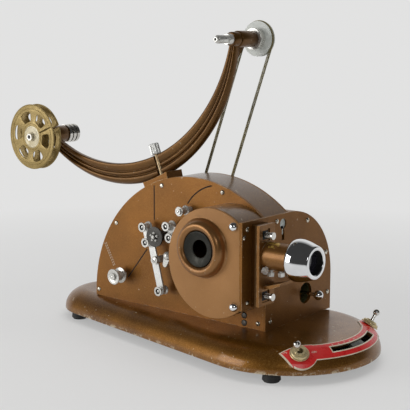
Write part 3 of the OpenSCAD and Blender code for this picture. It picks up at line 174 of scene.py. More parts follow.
# a flat piece cut from sheet: loops are drawn in (X, Z), the sheet lies across Y from back to front
def cutFromSheet(name, loops, front, thick, bevel):
    curve = bpy.data.curves.new(name, "CURVE")
    curve.dimensions = "2D"
    curve.fill_mode = "BOTH"
    curve.extrude = (thick / 2 - bevel) * mm
    curve.bevel_depth = bevel * mm
    curve.bevel_resolution = 2
    curve.offset = -bevel * mm
    for loop in loops:
        spline = curve.splines.new("POLY")
        spline.points.add(len(loop) - 1)
        for point, (x, z) in zip(spline.points, loop):
            point.co = (x * mm, z * mm, 0, 1)
        spline.use_cyclic_u = True
    obj = bpy.data.objects.new(name, curve)
    scene.collection.objects.link(obj)
    pick(obj)
    bpy.ops.object.convert(target="MESH")
    obj = bpy.context.object
    obj.data.transform(shift(0, front + thick / 2, 0) @ Matrix.Rotation(math.pi / 2, 4, "X"))
    mergeAndTurnOut(obj)
    return obj


# a wire bent along points
def bendWire(name, points, radius, closed, roundness=2):
    curve = bpy.data.curves.new(name, "CURVE")
    curve.dimensions = "3D"
    curve.bevel_depth = radius * mm
    curve.bevel_resolution = roundness
    curve.use_fill_caps = not closed
    spline = curve.splines.new("POLY")
    spline.points.add(len(points) - 1)
    for point, p in zip(spline.points, points):
        point.co = (p[0] * mm, p[1] * mm, p[2] * mm, 1)
    spline.use_cyclic_u = closed
    obj = bpy.data.objects.new(name, curve)
    scene.collection.objects.link(obj)
    pick(obj)
    bpy.ops.object.convert(target="MESH")
    obj = bpy.context.object
    mergeAndTurnOut(obj)
    return obj


def joinPieces(name, parts):
    clearSelection()
    for p in parts:
        p.select_set(True)
    bpy.context.view_layer.objects.active = parts[0]
    if len(parts) > 1:
        bpy.ops.object.join()
    joined = bpy.context.view_layer.objects.active
    joined.name = name
    joined.data.name = name
    return joined


def cutAway(obj, cutter):
    pick(obj)
    cut = obj.modifiers.new("cut", "BOOLEAN")
    cut.operation = "DIFFERENCE"
    cut.solver = "EXACT"
    cut.object = cutter
    bpy.ops.object.modifier_apply(modifier="cut")
    bpy.data.objects.remove(cutter)


def copyOf(obj, name, move):
    twin = obj.copy()
    twin.data = obj.data.copy()
    twin.name = name
    scene.collection.objects.link(twin)
    twin.data.transform(move)
    return twin


def settle(obj, body, finish, stands=(), smooth=35):
    pick(obj)
    bpy.ops.object.transform_apply(location=True, rotation=True, scale=True)
    bpy.ops.object.shade_smooth_by_angle(angle=math.radians(smooth))
    obj.data.materials.clear()
    obj.data.materials.append(finishes[finish])
    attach(obj, body)
    if stands:
        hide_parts(*stands)


# a second finish on the faces whose middle, in millimetres, is chosen
def paintFaces(obj, finish, chosen):
    obj.data.materials.append(finishes[finish])
    for face in obj.data.polygons:
        face.material_index = int(chosen(face.center / mm))


# the rounded edge of the base, round its front end: angle in plan, slope from the top down
baseForm = {
    "rearX": -118.6, "rearR": 50.8, "frontX": 128.9, "frontR": 93.6, "edge": 24.0, "lipZ": 12.0, "rise": 20.7,
    "low": 10.0, "wall": 3.0, "lipTop": 10.6, "lipIn": 0.7, "frontSteps": 132, "rearSteps": 72,
    "slotSlope": 32.5, "slotHalf": 25.0, "slotWide": 6.2, "slotDeep": 8.0, "slotSteps": 40,
    "switchAngle": 47.3, "switchSlope": 39.0, "bush": 5.55, "bushDeep": 18.0,
}


def edgePoint(angle, slope, grow=0.0):
    a, t = math.radians(angle), math.radians(slope)
    r = baseForm["frontR"] - baseForm["edge"] + (baseForm["edge"] + grow) * math.sin(t)
    z = baseForm["lipZ"] + (baseForm["rise"] + grow) * math.cos(t)
    return Vector((baseForm["frontX"] + r * math.cos(a), r * math.sin(a), z))


def edgeFrame(angle, slope):
    a, t = math.radians(angle), math.radians(slope)
    k = math.atan2(math.sin(t) / baseForm["edge"], math.cos(t) / baseForm["rise"])
    down = Vector((math.cos(k) * math.cos(a), math.cos(k) * math.sin(a), -math.sin(k)))
    along = Vector((-math.sin(a), math.cos(a), 0))
    return down, along, down.cross(along)


# shader tools
def newFinish(name):
    mat = bpy.data.materials.new(name)
    mat.use_nodes = True
    tree = mat.node_tree
    tree.nodes.clear()
    out = tree.nodes.new("ShaderNodeOutputMaterial")
    shader = tree.nodes.new("ShaderNodeBsdfPrincipled")
    tree.links.new(shader.outputs[0], out.inputs[0])
    coords = tree.nodes.new("ShaderNodeTexCoord").outputs["Object"]
    return mat, tree, shader, coords


def feed(tree, socket, value):
    if isinstance(value, bpy.types.NodeSocket):
        tree.links.new(value, socket)
    else:
        socket.default_value = value


def sums(tree, kind, a, b=0.0, clamp=False):
    n = tree.nodes.new("ShaderNodeMath")
    n.operation = kind
    n.use_clamp = clamp
    feed(tree, n.inputs[0], a)
    feed(tree, n.inputs[1], b)
    return n.outputs[0]


def noise(tree, coords, scale, detail, rough, warp=0.0):
    n = tree.nodes.new("ShaderNodeTexNoise")
    feed(tree, n.inputs["Vector"], coords)
    n.inputs["Scale"].default_value = scale
    n.inputs["Detail"].default_value = detail
    n.inputs["Roughness"].default_value = rough
    n.inputs["Distortion"].default_value = warp
    return n.outputs["Fac"]


def span(tree, value, low, high, start=0.0, end=1.0):
    n = tree.nodes.new("ShaderNodeMapRange")
    n.clamp = True
    feed(tree, n.inputs["Value"], value)
    n.inputs["From Min"].default_value = low
    n.inputs["From Max"].default_value = high
    n.inputs["To Min"].default_value = start
    n.inputs["To Max"].default_value = end
    return n.outputs["Result"]


def blendColour(tree, share, a, b):
    n = tree.nodes.new("ShaderNodeMix")
    n.data_type = "RGBA"
    feed(tree, n.inputs["Factor"], share)
    for socket, value in ((n.inputs[6], a), (n.inputs[7], b)):
        feed(tree, socket, value if isinstance(value, bpy.types.NodeSocket) else (*value, 1))
    return n.outputs[2]


def roughen(tree, shader, height, strength, distance):
    n = tree.nodes.new("ShaderNodeBump")
    n.inputs["Strength"].default_value = strength
    n.inputs["Distance"].default_value = distance * mm
    feed(tree, n.inputs["Height"], height)
    tree.links.new(n.outputs[0], shader.inputs["Normal"])


def splitXYZ(tree, vector):
    n = tree.nodes.new("ShaderNodeSeparateXYZ")
    feed(tree, n.inputs[0], vector)
    return n.outputs


# how far the surface turns within a short reach: high along edges
def edgeMask(tree, reach):
    rounded = tree.nodes.new("ShaderNodeBevel")
    rounded.samples = 6
    rounded.inputs["Radius"].default_value = reach * mm
    plain = tree.nodes.new("ShaderNodeNewGeometry")
    dot = tree.nodes.new("ShaderNodeVectorMath")
    dot.operation = "DOT_PRODUCT"
    tree.links.new(rounded.outputs[0], dot.inputs[0])
    tree.links.new(plain.outputs["Normal"], dot.inputs[1])
    return sums(tree, "SUBTRACT", 1.0, dot.outputs["Value"], clamp=True)


# bronze-brown enamel with metal flake; paint is lost along edges, low on the base and where it is rubbed;
# edges also get a painted highlight in the flake colour
def bronzeEnamel(name, look):
    mat, tree, shader, coords = newFinish(name)
    broad = noise(tree, coords, look["cloud"], 4.0, 0.55)
    colour = blendColour(tree, span(tree, broad, 0.35, 0.68), look["deep"], look["mid"])
    flake = tree.nodes.new("ShaderNodeTexVoronoi")
    feed(tree, flake.inputs["Vector"], coords)
    flake.inputs["Scale"].default_value = look["flakes"]
    chance = splitXYZ(tree, flake.outputs["Color"])[0]
    lit = span(tree, chance, 0.55, 1.0, 0.0, look["sparkle"])
    colour = blendColour(tree, lit, colour, look["fleck"])
    grime = noise(tree, coords, 60.0, 6.0, 0.7)
    colour = blendColour(tree, span(tree, grime, 0.62, 0.78, 0.0, 0.35), colour, look["grime"])
    edge = span(tree, edgeMask(tree, look["edge"]), 0.02, 0.12)
    # painted highlight: edges are tinted toward the flake colour by the share look["rim"]
    colour = blendColour(tree, sums(tree, "MULTIPLY", edge, look["rim"]), colour, look["fleck"])
    loss = sums(tree, "MULTIPLY", edge, span(tree, noise(tree, coords, 85.0, 5.0, 0.7), *look["loss"]))
    if look.get("chipTop"):
        height = splitXYZ(tree, coords)[2]
        low = span(tree, height, look["chipLow"] * mm, look["chipTop"] * mm, 1.0, 0.0)
        patch = span(tree, noise(tree, coords, 95.0, 6.0, 0.75, 0.6), 0.53, 0.57)
        loss = sums(tree, "MAXIMUM", loss, sums(tree, "MULTIPLY", low, patch))
    pin = span(tree, noise(tree, coords, 260.0, 2.0, 0.4), 0.735, 0.75)
    loss = sums(tree, "MAXIMUM", loss, sums(tree, "MULTIPLY", pin, look["pins"]))
    colour = blendColour(tree, loss, colour, look["bare"])
    if look.get("wornAt"):
        off = [sums(tree, "DIVIDE", sums(tree, "SUBTRACT", c, p * mm), r * mm)
               for c, p, r in zip(splitXYZ(tree, coords), look["wornAt"], look["wornReach"])]
        squares = [sums(tree, "POWER", o, 2.0) for o in off]
        far = sums(tree, "ADD", sums(tree, "ADD", squares[0], squares[1]), squares[2])
        rubbed = noise(tree, coords, 260.0, 5.0, 0.7)
        rubbed = sums(tree, "SUBTRACT", rubbed, sums(tree, "MULTIPLY", far, 0.3))
        colour = blendColour(tree, span(tree, rubbed, 0.42, 0.47), colour, look["worn"])
    tree.links.new(colour, shader.inputs["Base Color"])
    tree.links.new(span(tree, loss, 0.0, 1.0, look["metal"], 0.1), shader.inputs["Metallic"])
    haze = noise(tree, coords, 22.0, 5.0, 0.65)
    gloss = span(tree, haze, 0.3, 0.75, look["rough"] - 0.06, look["rough"] + 0.1)
    tree.links.new(sums(tree, "ADD", gloss, sums(tree, "MULTIPLY", loss, 0.2)), shader.inputs["Roughness"])
    shader.inputs["Coat Weight"].default_value = look["coat"]
    shader.inputs["Coat Roughness"].default_value = look["coatRough"]
    speck = noise(tree, coords, 420.0, 2.0, 0.6)
    skin = sums(tree, "SUBTRACT", sums(tree, "MULTIPLY", speck, 0.5), sums(tree, "MULTIPLY", loss, 0.8))
    roughen(tree, shader, skin, look["bump"], 0.12)
    return mat


# plated or bare metal: soft smudges, fine rub marks and dull spots
def metalFinish(name, look):
    mat, tree, shader, coords = newFinish(name)
    smudge = noise(tree, coords, look["cloud"], 5.0, 0.6, 0.4)
    colour = blendColour(tree, span(tree, smudge, 0.35, 0.7), look["shade"], look["light"])
    spots = span(tree, noise(tree, coords, 340.0, 4.0, 0.7), 0.66, 0.74, 0.0, look["spots"])
    colour = blendColour(tree, spots, colour, look["dull"])
    tree.links.new(colour, shader.inputs["Base Color"])
    shader.inputs["Metallic"].default_value = look["metal"]
    drawn = tree.nodes.new("ShaderNodeMapping")
    feed(tree, drawn.inputs["Vector"], coords)
    drawn.inputs["Scale"].default_value = look["grain"]
    rub = noise(tree, drawn.outputs[0], look["rubScale"], 4.0, 0.6)
    gloss = span(tree, rub, 0.3, 0.75, look["rough"] * 0.7, look["rough"] * 1.35)
    gloss = sums(tree, "ADD", gloss, sums(tree, "MULTIPLY", spots, 0.25), clamp=True)
    tree.links.new(gloss, shader.inputs["Roughness"])
    roughen(tree, shader, rub, look["bump"], 0.04)
    return mat


# moulded, rubber, ceramic, woven and painted surfaces
def plainStuff(name, look):
    mat, tree, shader, coords = newFinish(name)
    cloud = noise(tree, coords, look["cloud"], 5.0, 0.6)
    colour = blendColour(tree, span(tree, cloud, 0.35, 0.7), look["shade"], look["light"])
    if look.get("dustTop"):
        height = splitXYZ(tree, coords)[2]
        scuff = sums(tree, "MULTIPLY", span(tree, height, 0.0, look["dustTop"] * mm, 1.0, 0.3),
                     span(tree, noise(tree, coords, 150.0, 5.0, 0.7), 0.56, 0.66))
        colour = blendColour(tree, scuff, colour, look["dust"])
    tree.links.new(colour, shader.inputs["Base Color"])
    gloss = span(tree, cloud, 0.3, 0.7, look["rough"] - 0.08, look["rough"] + 0.08)
    tree.links.new(gloss, shader.inputs["Roughness"])
    roughen(tree, shader, noise(tree, coords, look["grainScale"], 4.0, 0.6), look["bump"], 0.15)
    return mat


def glassFinish(name, look):
    mat, tree, shader, coords = newFinish(name)
    film = noise(tree, coords, 90.0, 4.0, 0.6)
    colour = blendColour(tree, span(tree, film, 0.35, 0.7), look["shade"], look["light"])
    tree.links.new(colour, shader.inputs["Base Color"])
    tree.links.new(span(tree, film, 0.4, 0.8, look["rough"], look["rough"] + 0.06),
                   shader.inputs["Roughness"])
    shader.inputs["Transmission Weight"].default_value = look["clear"]
    shader.inputs["IOR"].default_value = 1.5
    shader.inputs["Coat Weight"].default_value = 0.6
    shader.inputs["Coat Roughness"].default_value = 0.04
    return mat


# red plate over the base's edge, with a cream border and a cream frame round the slot
redForm = {
    "thick": 0.95, "band": (10.0, 57.0), "bandEnd": 43.3, "perSlope": 23.0, "endPerAngle": 1.5,
    "slotPerAngle": 1.44, "tip": (-2.0, -18.4), "lobe": (-1.9, 2.1), "lobeR": 16.4, "lobeTop": 8.0,
    "shoulder": (-11.7, -0.8), "pointEnd": -5.0, "border": 0.95, "frame": 1.0,
    "red": ((0.56, 0.012, 0.012), (0.68, 0.020, 0.017)), "cream": ((0.60, 0.50, 0.36), (0.78, 0.70, 0.56)),
}


def redPlate(name):
    mat, tree, shader, coords = newFinish(name)

    def plus(a, b):
        return sums(tree, "ADD", a, b)

    def less(a, b):
        return sums(tree, "SUBTRACT", a, b)

    def times(a, b):
        return sums(tree, "MULTIPLY", a, b)

    def least(a, b):
        return sums(tree, "MINIMUM", a, b)

    def most(a, b):
        return sums(tree, "MAXIMUM", a, b)

    def length(a, b):
        return sums(tree, "SQRT", plus(sums(tree, "POWER", a, 2.0), sums(tree, "POWER", b, 2.0)))

    def turned(a, b):
        return times(sums(tree, "ARCTAN2", a, b), 180 / math.pi)

    x, y, z = [times(c, 1 / mm) for c in splitXYZ(tree, coords)]
    near = times(sums(tree, "ABSOLUTE", y), -1.0)  # both halves are alike
    ahead = less(x, baseForm["frontX"])
    angle = times(turned(near, ahead), -1.0)
    over = less(length(ahead, near), baseForm["frontR"] - baseForm["edge"])
    slope = turned(sums(tree, "DIVIDE", over, baseForm["edge"] + redForm["thick"]),
                   sums(tree, "DIVIDE", less(z, baseForm["lipZ"]), baseForm["rise"] + redForm["thick"]))
    perDegree = math.radians(redForm["perSlope"])
    band = times(least(less(slope, redForm["band"][0]), less(redForm["band"][1], slope)), perDegree)
    band = least(band, times(less(redForm["bandEnd"], angle), redForm["endPerAngle"]))

    middle = edgePoint(-baseForm["switchAngle"], baseForm["switchSlope"])
    down, along = edgeFrame(-baseForm["switchAngle"], baseForm["switchSlope"])[:2]
    offs = [less(c, m) for c, m in zip((x, near, z), middle)]
    u, v = [plus(plus(times(offs[0], w.x), times(offs[1], w.y)), times(offs[2], w.z)) for w in (down, along)]
    tip, shoulder, lobe = (Vector(redForm[n]) for n in ("tip", "shoulder", "lobe"))
    reach = lobe - tip
    lean = math.atan2(reach.y, reach.x) - math.asin(redForm["lobeR"] / reach.length)

    def sideOf(way):
        n = Vector((-way.y, way.x)).normalized()
        if reach.dot(n) < 0:
            n = -n
        return plus(plus(times(u, n.x), times(v, n.y)), -tip.dot(n))

    lobeRound = less(redForm["lobeR"], length(less(u, lobe.x), less(v, lobe.y)))
    upper = sideOf(shoulder - tip)
    lower = sideOf(Vector((math.cos(lean), math.sin(lean))))
    point = least(lower, less(redForm["pointEnd"], v))
    lobeIn = least(most(lobeRound, point), upper)
    lobeIn = least(lobeIn, times(less(slope, redForm["lobeTop"]), perDegree))

    across = times(sums(tree, "ABSOLUTE", less(slope, baseForm["slotSlope"])), perDegree)
    slotOut = most(less(across, baseForm["slotWide"] / 2),
                   times(less(angle, baseForm["slotHalf"]), redForm["slotPerAngle"]))
    enamel = least(less(most(band, lobeIn), redForm["border"]), less(slotOut, redForm["frame"]))
    cloud = noise(tree, coords, 90.0, 4.0, 0.6)
    worn = span(tree, cloud, 0.35, 0.7)
    redTone = blendColour(tree, worn, *redForm["red"])
    creamTone = blendColour(tree, worn, *redForm["cream"])
    colour = blendColour(tree, span(tree, enamel, -0.08, 0.08), creamTone, redTone)
    tree.links.new(colour, shader.inputs["Base Color"])
    tree.links.new(span(tree, cloud, 0.3, 0.7, 0.22, 0.36), shader.inputs["Roughness"])
    shader.inputs["Coat Weight"].default_value = 0.1
    sunk = times(span(tree, enamel, -0.1, 0.1), -0.6)
    roughen(tree, shader, plus(sunk, times(cloud, 0.15)), 0.25, 0.1)
    return mat


print("stage: finishes")
# rim is the share of painted highlight along edges
enamelLook = {
    "deep": (0.180, 0.068, 0.008), "mid": (0.255, 0.099, 0.013), "fleck": (0.56, 0.30, 0.07),
    "grime": (0.08, 0.030, 0.005), "bare": (0.62, 0.52, 0.36), "cloud": 16.0, "flakes": 2600.0,
    "sparkle": 0.25, "edge": 0.6, "loss": (0.5, 0.62), "rim": 0.35, "pins": 0.5, "metal": 0.72,
    "rough": 0.44, "coat": 0.22, "coatRough": 0.16, "bump": 0.04,
}
enamelKinds = {
    "bronzeEnamel": {},
    "bronzeBaseEnamel": {
        "deep": (0.125, 0.044, 0.003), "mid": (0.220, 0.086, 0.006), "chipLow": 10.4, "chipTop": 14.2,
        "metal": 0.75, "sparkle": 0.4, "flakes": 2000.0, "pins": 0.8, "rough": 0.38, "loss": (0.56, 0.66),
        "coat": 0.55, "coatRough": 0.12},
    "bronzeCoverEnamel": {
        "deep": (0.33, 0.160, 0.054), "mid": (0.40, 0.200, 0.071), "sparkle": 0.2, "rough": 0.6,
        "metal": 0.45, "flakes": 3000.0, "coat": 0.05, "coatRough": 0.3},
    # painted shade: a darker copy of the bronze enamel for the arch rim and the drum's top
    "bronzeRimShadedEnamel": {
        "deep": (0.105, 0.046, 0.011), "mid": (0.155, 0.072, 0.020), "metal": 0.45, "coat": 0.75,
        "coatRough": 0.2, "bump": 0.1, "flakes": 1600.0},
    # painted shade: a darker copy of the bronze enamel for the front plate, which faces away from the key
    # light
    "bronzeFrontShadedEnamel": {
        "deep": (0.165, 0.064, 0.009), "mid": (0.235, 0.094, 0.014), "rough": 0.48, "coat": 0.12},
    "bronzeArmEnamel": {
        "deep": (0.088, 0.036, 0.004), "mid": (0.132, 0.056, 0.007), "rough": 0.33, "sparkle": 0.12,
        "coat": 0.2, "edge": 0.3, "loss": (0.9, 0.95), "rim": 0.0, "bump": 0.02, "pins": 0.3},
    "bronzeTubeEnamel": {
        "deep": (0.19, 0.080, 0.018), "mid": (0.28, 0.124, 0.028), "wornAt": (148.0, -53.0, 124.5),
        "wornReach": (11.0, 12.0, 6.0), "worn": (0.72, 0.47, 0.10), "rough": 0.38},
    "bronzeRingEnamel": {
        "deep": (0.22, 0.098, 0.030), "mid": (0.31, 0.148, 0.048), "rough": 0.33, "metal": 0.8, "coat": 0.3,
        "coatRough": 0.2, "sparkle": 0.12},
}
metalLook = {
    "shade": (0.60, 0.58, 0.54), "light": (0.80, 0.79, 0.75), "dull": (0.32, 0.28, 0.22), "cloud": 45.0,
    "spots": 0.5, "metal": 1.0, "rough": 0.17, "grain": (1, 1, 1), "rubScale": 260.0, "bump": 0.05,
}
metalKinds = {
    "wornNickel": {},
    "polishedChrome": {
        "shade": (0.78, 0.79, 0.80), "light": (0.90, 0.91, 0.92), "spots": 0.25, "rough": 0.06,
        "grain": (1, 6, 1), "rubScale": 120.0, "bump": 0.02},
    "machinedSteel": {
        "shade": (0.36, 0.36, 0.37), "light": (0.55, 0.55, 0.56), "rough": 0.3, "grain": (1, 8, 1),
        "rubScale": 500.0, "bump": 0.15},
    "satinSilver": {
        "shade": (0.70, 0.70, 0.67), "light": (0.86, 0.86, 0.83), "rough": 0.36, "metal": 0.75,
        "grain": (1, 1, 9), "rubScale": 420.0, "bump": 0.12},
    "satinNickel": {
        "shade": (0.60, 0.59, 0.55), "light": (0.78, 0.77, 0.73), "rough": 0.3, "metal": 0.7, "spots": 0.15},
    # pale non-metal for the sprocket cluster: a painted highlight
    "paleHighlightPaint": {"shade": (0.58, 0.57, 0.53), "light": (0.74, 0.73, 0.69), "rough": 0.25, "metal": 0.3},
    "paleBrass": {
        "shade": (0.62, 0.50, 0.27), "light": (0.76, 0.64, 0.38), "rough": 0.32, "metal": 0.65, "spots": 0.0,
        "bump": 0.0},
    "dullBrass": {"shade": (0.42, 0.31, 0.13), "light": (0.66, 0.52, 0.26), "rough": 0.27},
    "paleScrewPlate": {"shade": (0.62, 0.58, 0.48), "light": (0.84, 0.80, 0.70), "rough": 0.24},
    "goldReelSheet": {
        "shade": (0.29, 0.20, 0.06), "light": (0.41, 0.30, 0.115), "dull": (0.16, 0.10, 0.04), "cloud": 30.0,
        "spots": 0.6, "rough": 0.45, "metal": 0.45, "rubScale": 300.0, "bump": 0.1},
    "paleHubSheet": {
        "shade": (0.42, 0.35, 0.20), "light": (0.66, 0.60, 0.45), "rough": 0.4, "metal": 0.5, "cloud": 60.0},
    "warmNickel": {"shade": (0.36, 0.24, 0.12), "light": (0.58, 0.44, 0.26), "rough": 0.3, "metal": 0.55},
    "oliveSpringWire": {
        "shade": (0.20, 0.17, 0.08), "light": (0.44, 0.38, 0.20), "dull": (0.10, 0.08, 0.04), "cloud": 25.0,
        "rough": 0.45, "metal": 0.45},
    "darkPlatedDisc": {
        "shade": (0.060, 0.056, 0.050), "light": (0.118, 0.112, 0.102), "rough": 0.36, "metal": 0.7,
        "spots": 0.3, "bump": 0.1},
    "ventGreyMetal": {
        "shade": (0.022, 0.022, 0.017), "light": (0.052, 0.050, 0.040), "rough": 0.45, "metal": 0.6,
        "bump": 0.1},
    "laminatedIron": {
        "shade": (0.05, 0.05, 0.055), "light": (0.11, 0.11, 0.12), "rough": 0.55, "grain": (1, 60, 1),
        "rubScale": 60.0, "bump": 0.3},
}
plainLook = {"cloud": 60.0, "grainScale": 500.0, "bump": 0.06}
plainKinds = {
    "footRubber": {
        "shade": (0.012, 0.012, 0.012), "light": (0.035, 0.034, 0.032), "cloud": 120.0, "rough": 0.72,
        "grainScale": 900.0, "bump": 0.2, "dustTop": 8.0, "dust": (0.20, 0.19, 0.17)},
    "brownBelting": {
        "shade": (0.05, 0.025, 0.012), "light": (0.10, 0.05, 0.025), "rough": 0.6, "grainScale": 700.0,
        "bump": 0.3},
    "heaterCeramic": {
        "shade": (0.45, 0.40, 0.31), "light": (0.62, 0.56, 0.45), "cloud": 50.0, "rough": 0.7, "bump": 0.2},
    "brownMoulding": {
        "shade": (0.022, 0.014, 0.010), "light": (0.05, 0.032, 0.022), "cloud": 40.0, "rough": 0.35,
        "grainScale": 400.0, "bump": 0.08},
    # black for the lens throat and roller rings, and painted shade on the spindle tips and in the carrier's
    # recesses
    "blackInsideAndShade": {
        "shade": (0.006, 0.006, 0.006), "light": (0.016, 0.015, 0.014), "cloud": 80.0, "rough": 0.6,
        "grainScale": 700.0, "bump": 0.15},
    "oliveInside": {
        "shade": (0.030, 0.030, 0.012), "light": (0.085, 0.085, 0.035), "cloud": 90.0, "rough": 0.3,
        "grainScale": 300.0, "bump": 0.1},
    "threadLineBrown": {
        "shade": (0.022, 0.009, 0.003), "light": (0.036, 0.015, 0.005), "rough": 0.85, "grainScale": 400.0,
        "bump": 0.1},
    "creamPaint": {
        "shade": (0.66, 0.60, 0.48), "light": (0.78, 0.73, 0.62), "cloud": 200.0, "rough": 0.45,
        "grainScale": 900.0, "bump": 0.08},
    "keyholeGrey": {"shade": (0.48, 0.52, 0.50), "light": (0.64, 0.68, 0.66), "rough": 0.45},
    "sliderDark": {
        "shade": (0.04, 0.044, 0.036), "light": (0.115, 0.12, 0.10), "cloud": 120.0, "rough": 0.25,
        "grainScale": 300.0},
    "paleWheel": {"shade": (0.56, 0.58, 0.54), "light": (0.70, 0.72, 0.68), "rough": 0.38},
}
glassKinds = {
    "darkLensGlass": {"shade": (0.010, 0.010, 0.014), "light": (0.03, 0.028, 0.04), "rough": 0.03,
                      "clear": 0.25},
    "lampGlass": {"shade": (0.70, 0.76, 0.80), "light": (0.86, 0.90, 0.92), "rough": 0.05, "clear": 0.9},
}
finishes = {"redPlateEnamel": redPlate("redPlateEnamel")}
for maker, look, kinds in ((bronzeEnamel, enamelLook, enamelKinds), (metalFinish, metalLook, metalKinds),
                           (plainStuff, plainLook, plainKinds), (glassFinish, {}, glassKinds)):
    for name, kind in kinds.items():
        finishes[name] = maker(name, {**look, **kind})

# the finish of every node, also of those that are drawn anew below
nodeFinish = {
    "bronzeEnamel": "side_plate back_plate motor_housing arm_saddle",
    "bronzeRimShadedEnamel": "arch_rim lamp_house", "bronzeFrontShadedEnamel": "front_plate",
    "bronzeArmEnamel": "reel_arm film_gate", "bronzeBaseEnamel": "base_shell",
    "bronzeCoverEnamel": "lamp_cover", "bronzeTubeEnamel": "lens_carrier",
    "wornNickel": "cover_nuts gate_studs gate_springs takeup_spindle drive_pulley lamp_toggle motor_toggle "
                  "supply_spindle thumbscrew",
    "satinNickel": "roller_posts roller_a roller_b foot_roller roller_c roller_d feed_roller guide_roller "
                   "latch",
    "paleWheel": "takeup_pulley", "polishedChrome": "lens_barrel framing_lever",
    "machinedSteel": "motor_rotor main_shaft claw condenser_ring", "sliderDark": "speed_slider",
    "satinSilver": "keeper_lever clamp_screws", "darkPlatedDisc": "sprocket shutter base_cover",
    "ventGreyMetal": "vent_disc", "laminatedIron": "motor_stator",
    "dullBrass": "sprocket_gears takeup_gear lamp_socket toggle_switches", "paleScrewPlate": "plate_screws",
    "goldReelSheet": "supply_reel", "oliveSpringWire": "spring_belt", "footRubber": "rubber_feet",
    "brownBelting": "inner_belts", "heaterCeramic": "rheostat", "brownMoulding": "cord_gland",
    "darkLensGlass": "lens_glass", "lampGlass": "lamp_bulb condenser", "redPlateEnamel": "control_plate",
}
for finish, names in nodeFinish.items():
    for name in names.split():
        nodes[name].data.materials.clear()
        nodes[name].data.materials.append(finishes[finish])

# base casting: one rounded pillow over two round ends, hollow below
print("stage: base casting")


def baseRing(inset, z):
    turn = math.acos(-(baseForm["frontR"] - baseForm["rearR"]) / (baseForm["frontX"] - baseForm["rearX"]))
    front = arc((baseForm["frontX"], 0), baseForm["frontR"] - inset, -turn, turn, baseForm["frontSteps"])
    rear = arc((baseForm["rearX"], 0), baseForm["rearR"] - inset, turn, 2 * math.pi - turn,
               baseForm["rearSteps"])
    return [(x, y, z) for x, y in front + rear]


rings = [baseRing(baseForm["lipIn"], baseForm["low"]), baseRing(0.0, baseForm["lipTop"])]
for slope in range(90, -1, -5):
    t = math.radians(slope)
    inset = baseForm["edge"] * (1 - math.sin(t))
    rings.append(baseRing(inset, baseForm["lipZ"] + baseForm["rise"] * math.cos(t)))
outerCount = len(rings)
hollowWide, hollowTall = baseForm["edge"] - baseForm["wall"], baseForm["rise"] - baseForm["wall"]
for slope in range(0, 91, 6):
    t = math.radians(slope)
    inset = baseForm["edge"] - hollowWide * math.sin(t)
    rings.append(baseRing(inset, baseForm["lipZ"] + hollowTall * math.cos(t)))
rings.append(baseRing(baseForm["wall"], baseForm["low"]))
size = len(rings[0])
faces = stitch([k for k in range(len(rings)) if k != outerCount - 1], size, len(rings))
faces.append([(outerCount - 1) * size + i for i in range(size)])
faces.append([outerCount * size + i for i in reversed(range(size))])
baseCasting = addMesh("baseCasting", [p for ring in rings for p in ring], (), faces)
mergeAndTurnOut(baseCasting)
for side in (-1, 1):
    hole = edgePoint(side * baseForm["switchAngle"], baseForm["switchSlope"])
    out = edgeFrame(side * baseForm["switchAngle"], baseForm["switchSlope"])[2]
    cutAway(baseCasting, rod(baseForm["bush"], baseForm["bushDeep"], hole, out, 64))
slotPoints = []
slotRows = baseForm["slotSteps"] + 1
for i in range(slotRows):
    angle = baseForm["slotHalf"] * (2 * i / baseForm["slotSteps"] - 1)
    middle = edgePoint(angle, baseForm["slotSlope"])
    down, out = edgeFrame(angle, baseForm["slotSlope"])[::2]
    slotPoints += [middle + down * (baseForm["slotWide"] / 2 * s) + out * (baseForm["slotDeep"] * o)
                   for s, o in ((-1, -1), (1, -1), (1, 1), (-1, 1))]
slotEnds = [(3, 2, 1, 0), tuple(4 * baseForm["slotSteps"] + j for j in range(4))]
slotCutter = addMesh("slotCutter", slotPoints, (), stitch(range(slotRows - 1), 4, slotRows) + slotEnds)
mergeAndTurnOut(slotCutter)
cutAway(baseCasting, slotCutter)
settle(baseCasting, "housing", "bronzeBaseEnamel", ("base_shell",))

# switches: body under the shell, threaded bush and a round nut on its washer
switchForm = {"body": (12.0, 20.0, 8.0), "bodyTop": -5.4, "bore": 3.2, "boreLow": -2.2}
bushProfile = [(0.0, -6.4), (5.5, -6.4), (5.5, 1.15), (9.0, 1.15), (9.2, 1.4), (9.2, 2.0), (8.9, 2.3),
               (8.2, 2.4), (8.3, 3.0), (8.1, 3.9), (7.6, 4.5), (6.6, 4.8), (5.5, 4.8), (5.5, 5.6), (5.0, 6.0),
               (switchForm["bore"], 6.0), (switchForm["bore"], switchForm["boreLow"]),
               (0.0, switchForm["boreLow"])]
switches = []
for side in (-1, 1):
    at = edgePoint(side * baseForm["switchAngle"], baseForm["switchSlope"])
    down, along, out = edgeFrame(side * baseForm["switchAngle"], baseForm["switchSlope"])
    switches.append(turnOnLathe("switchBush", bushProfile, at, out, 64))
    middle = at + out * (switchForm["bodyTop"] - switchForm["body"][2] / 2)
    basis = Matrix((down, along, out)).transposed().to_4x4()
    switches.append(block("switchBody", shift(*middle) @ basis @ stretch(*switchForm["body"])))
switchSet = joinPieces("switchSet", switches)
settle(switchSet, "housing", "paleBrass", ("toggle_switches",))

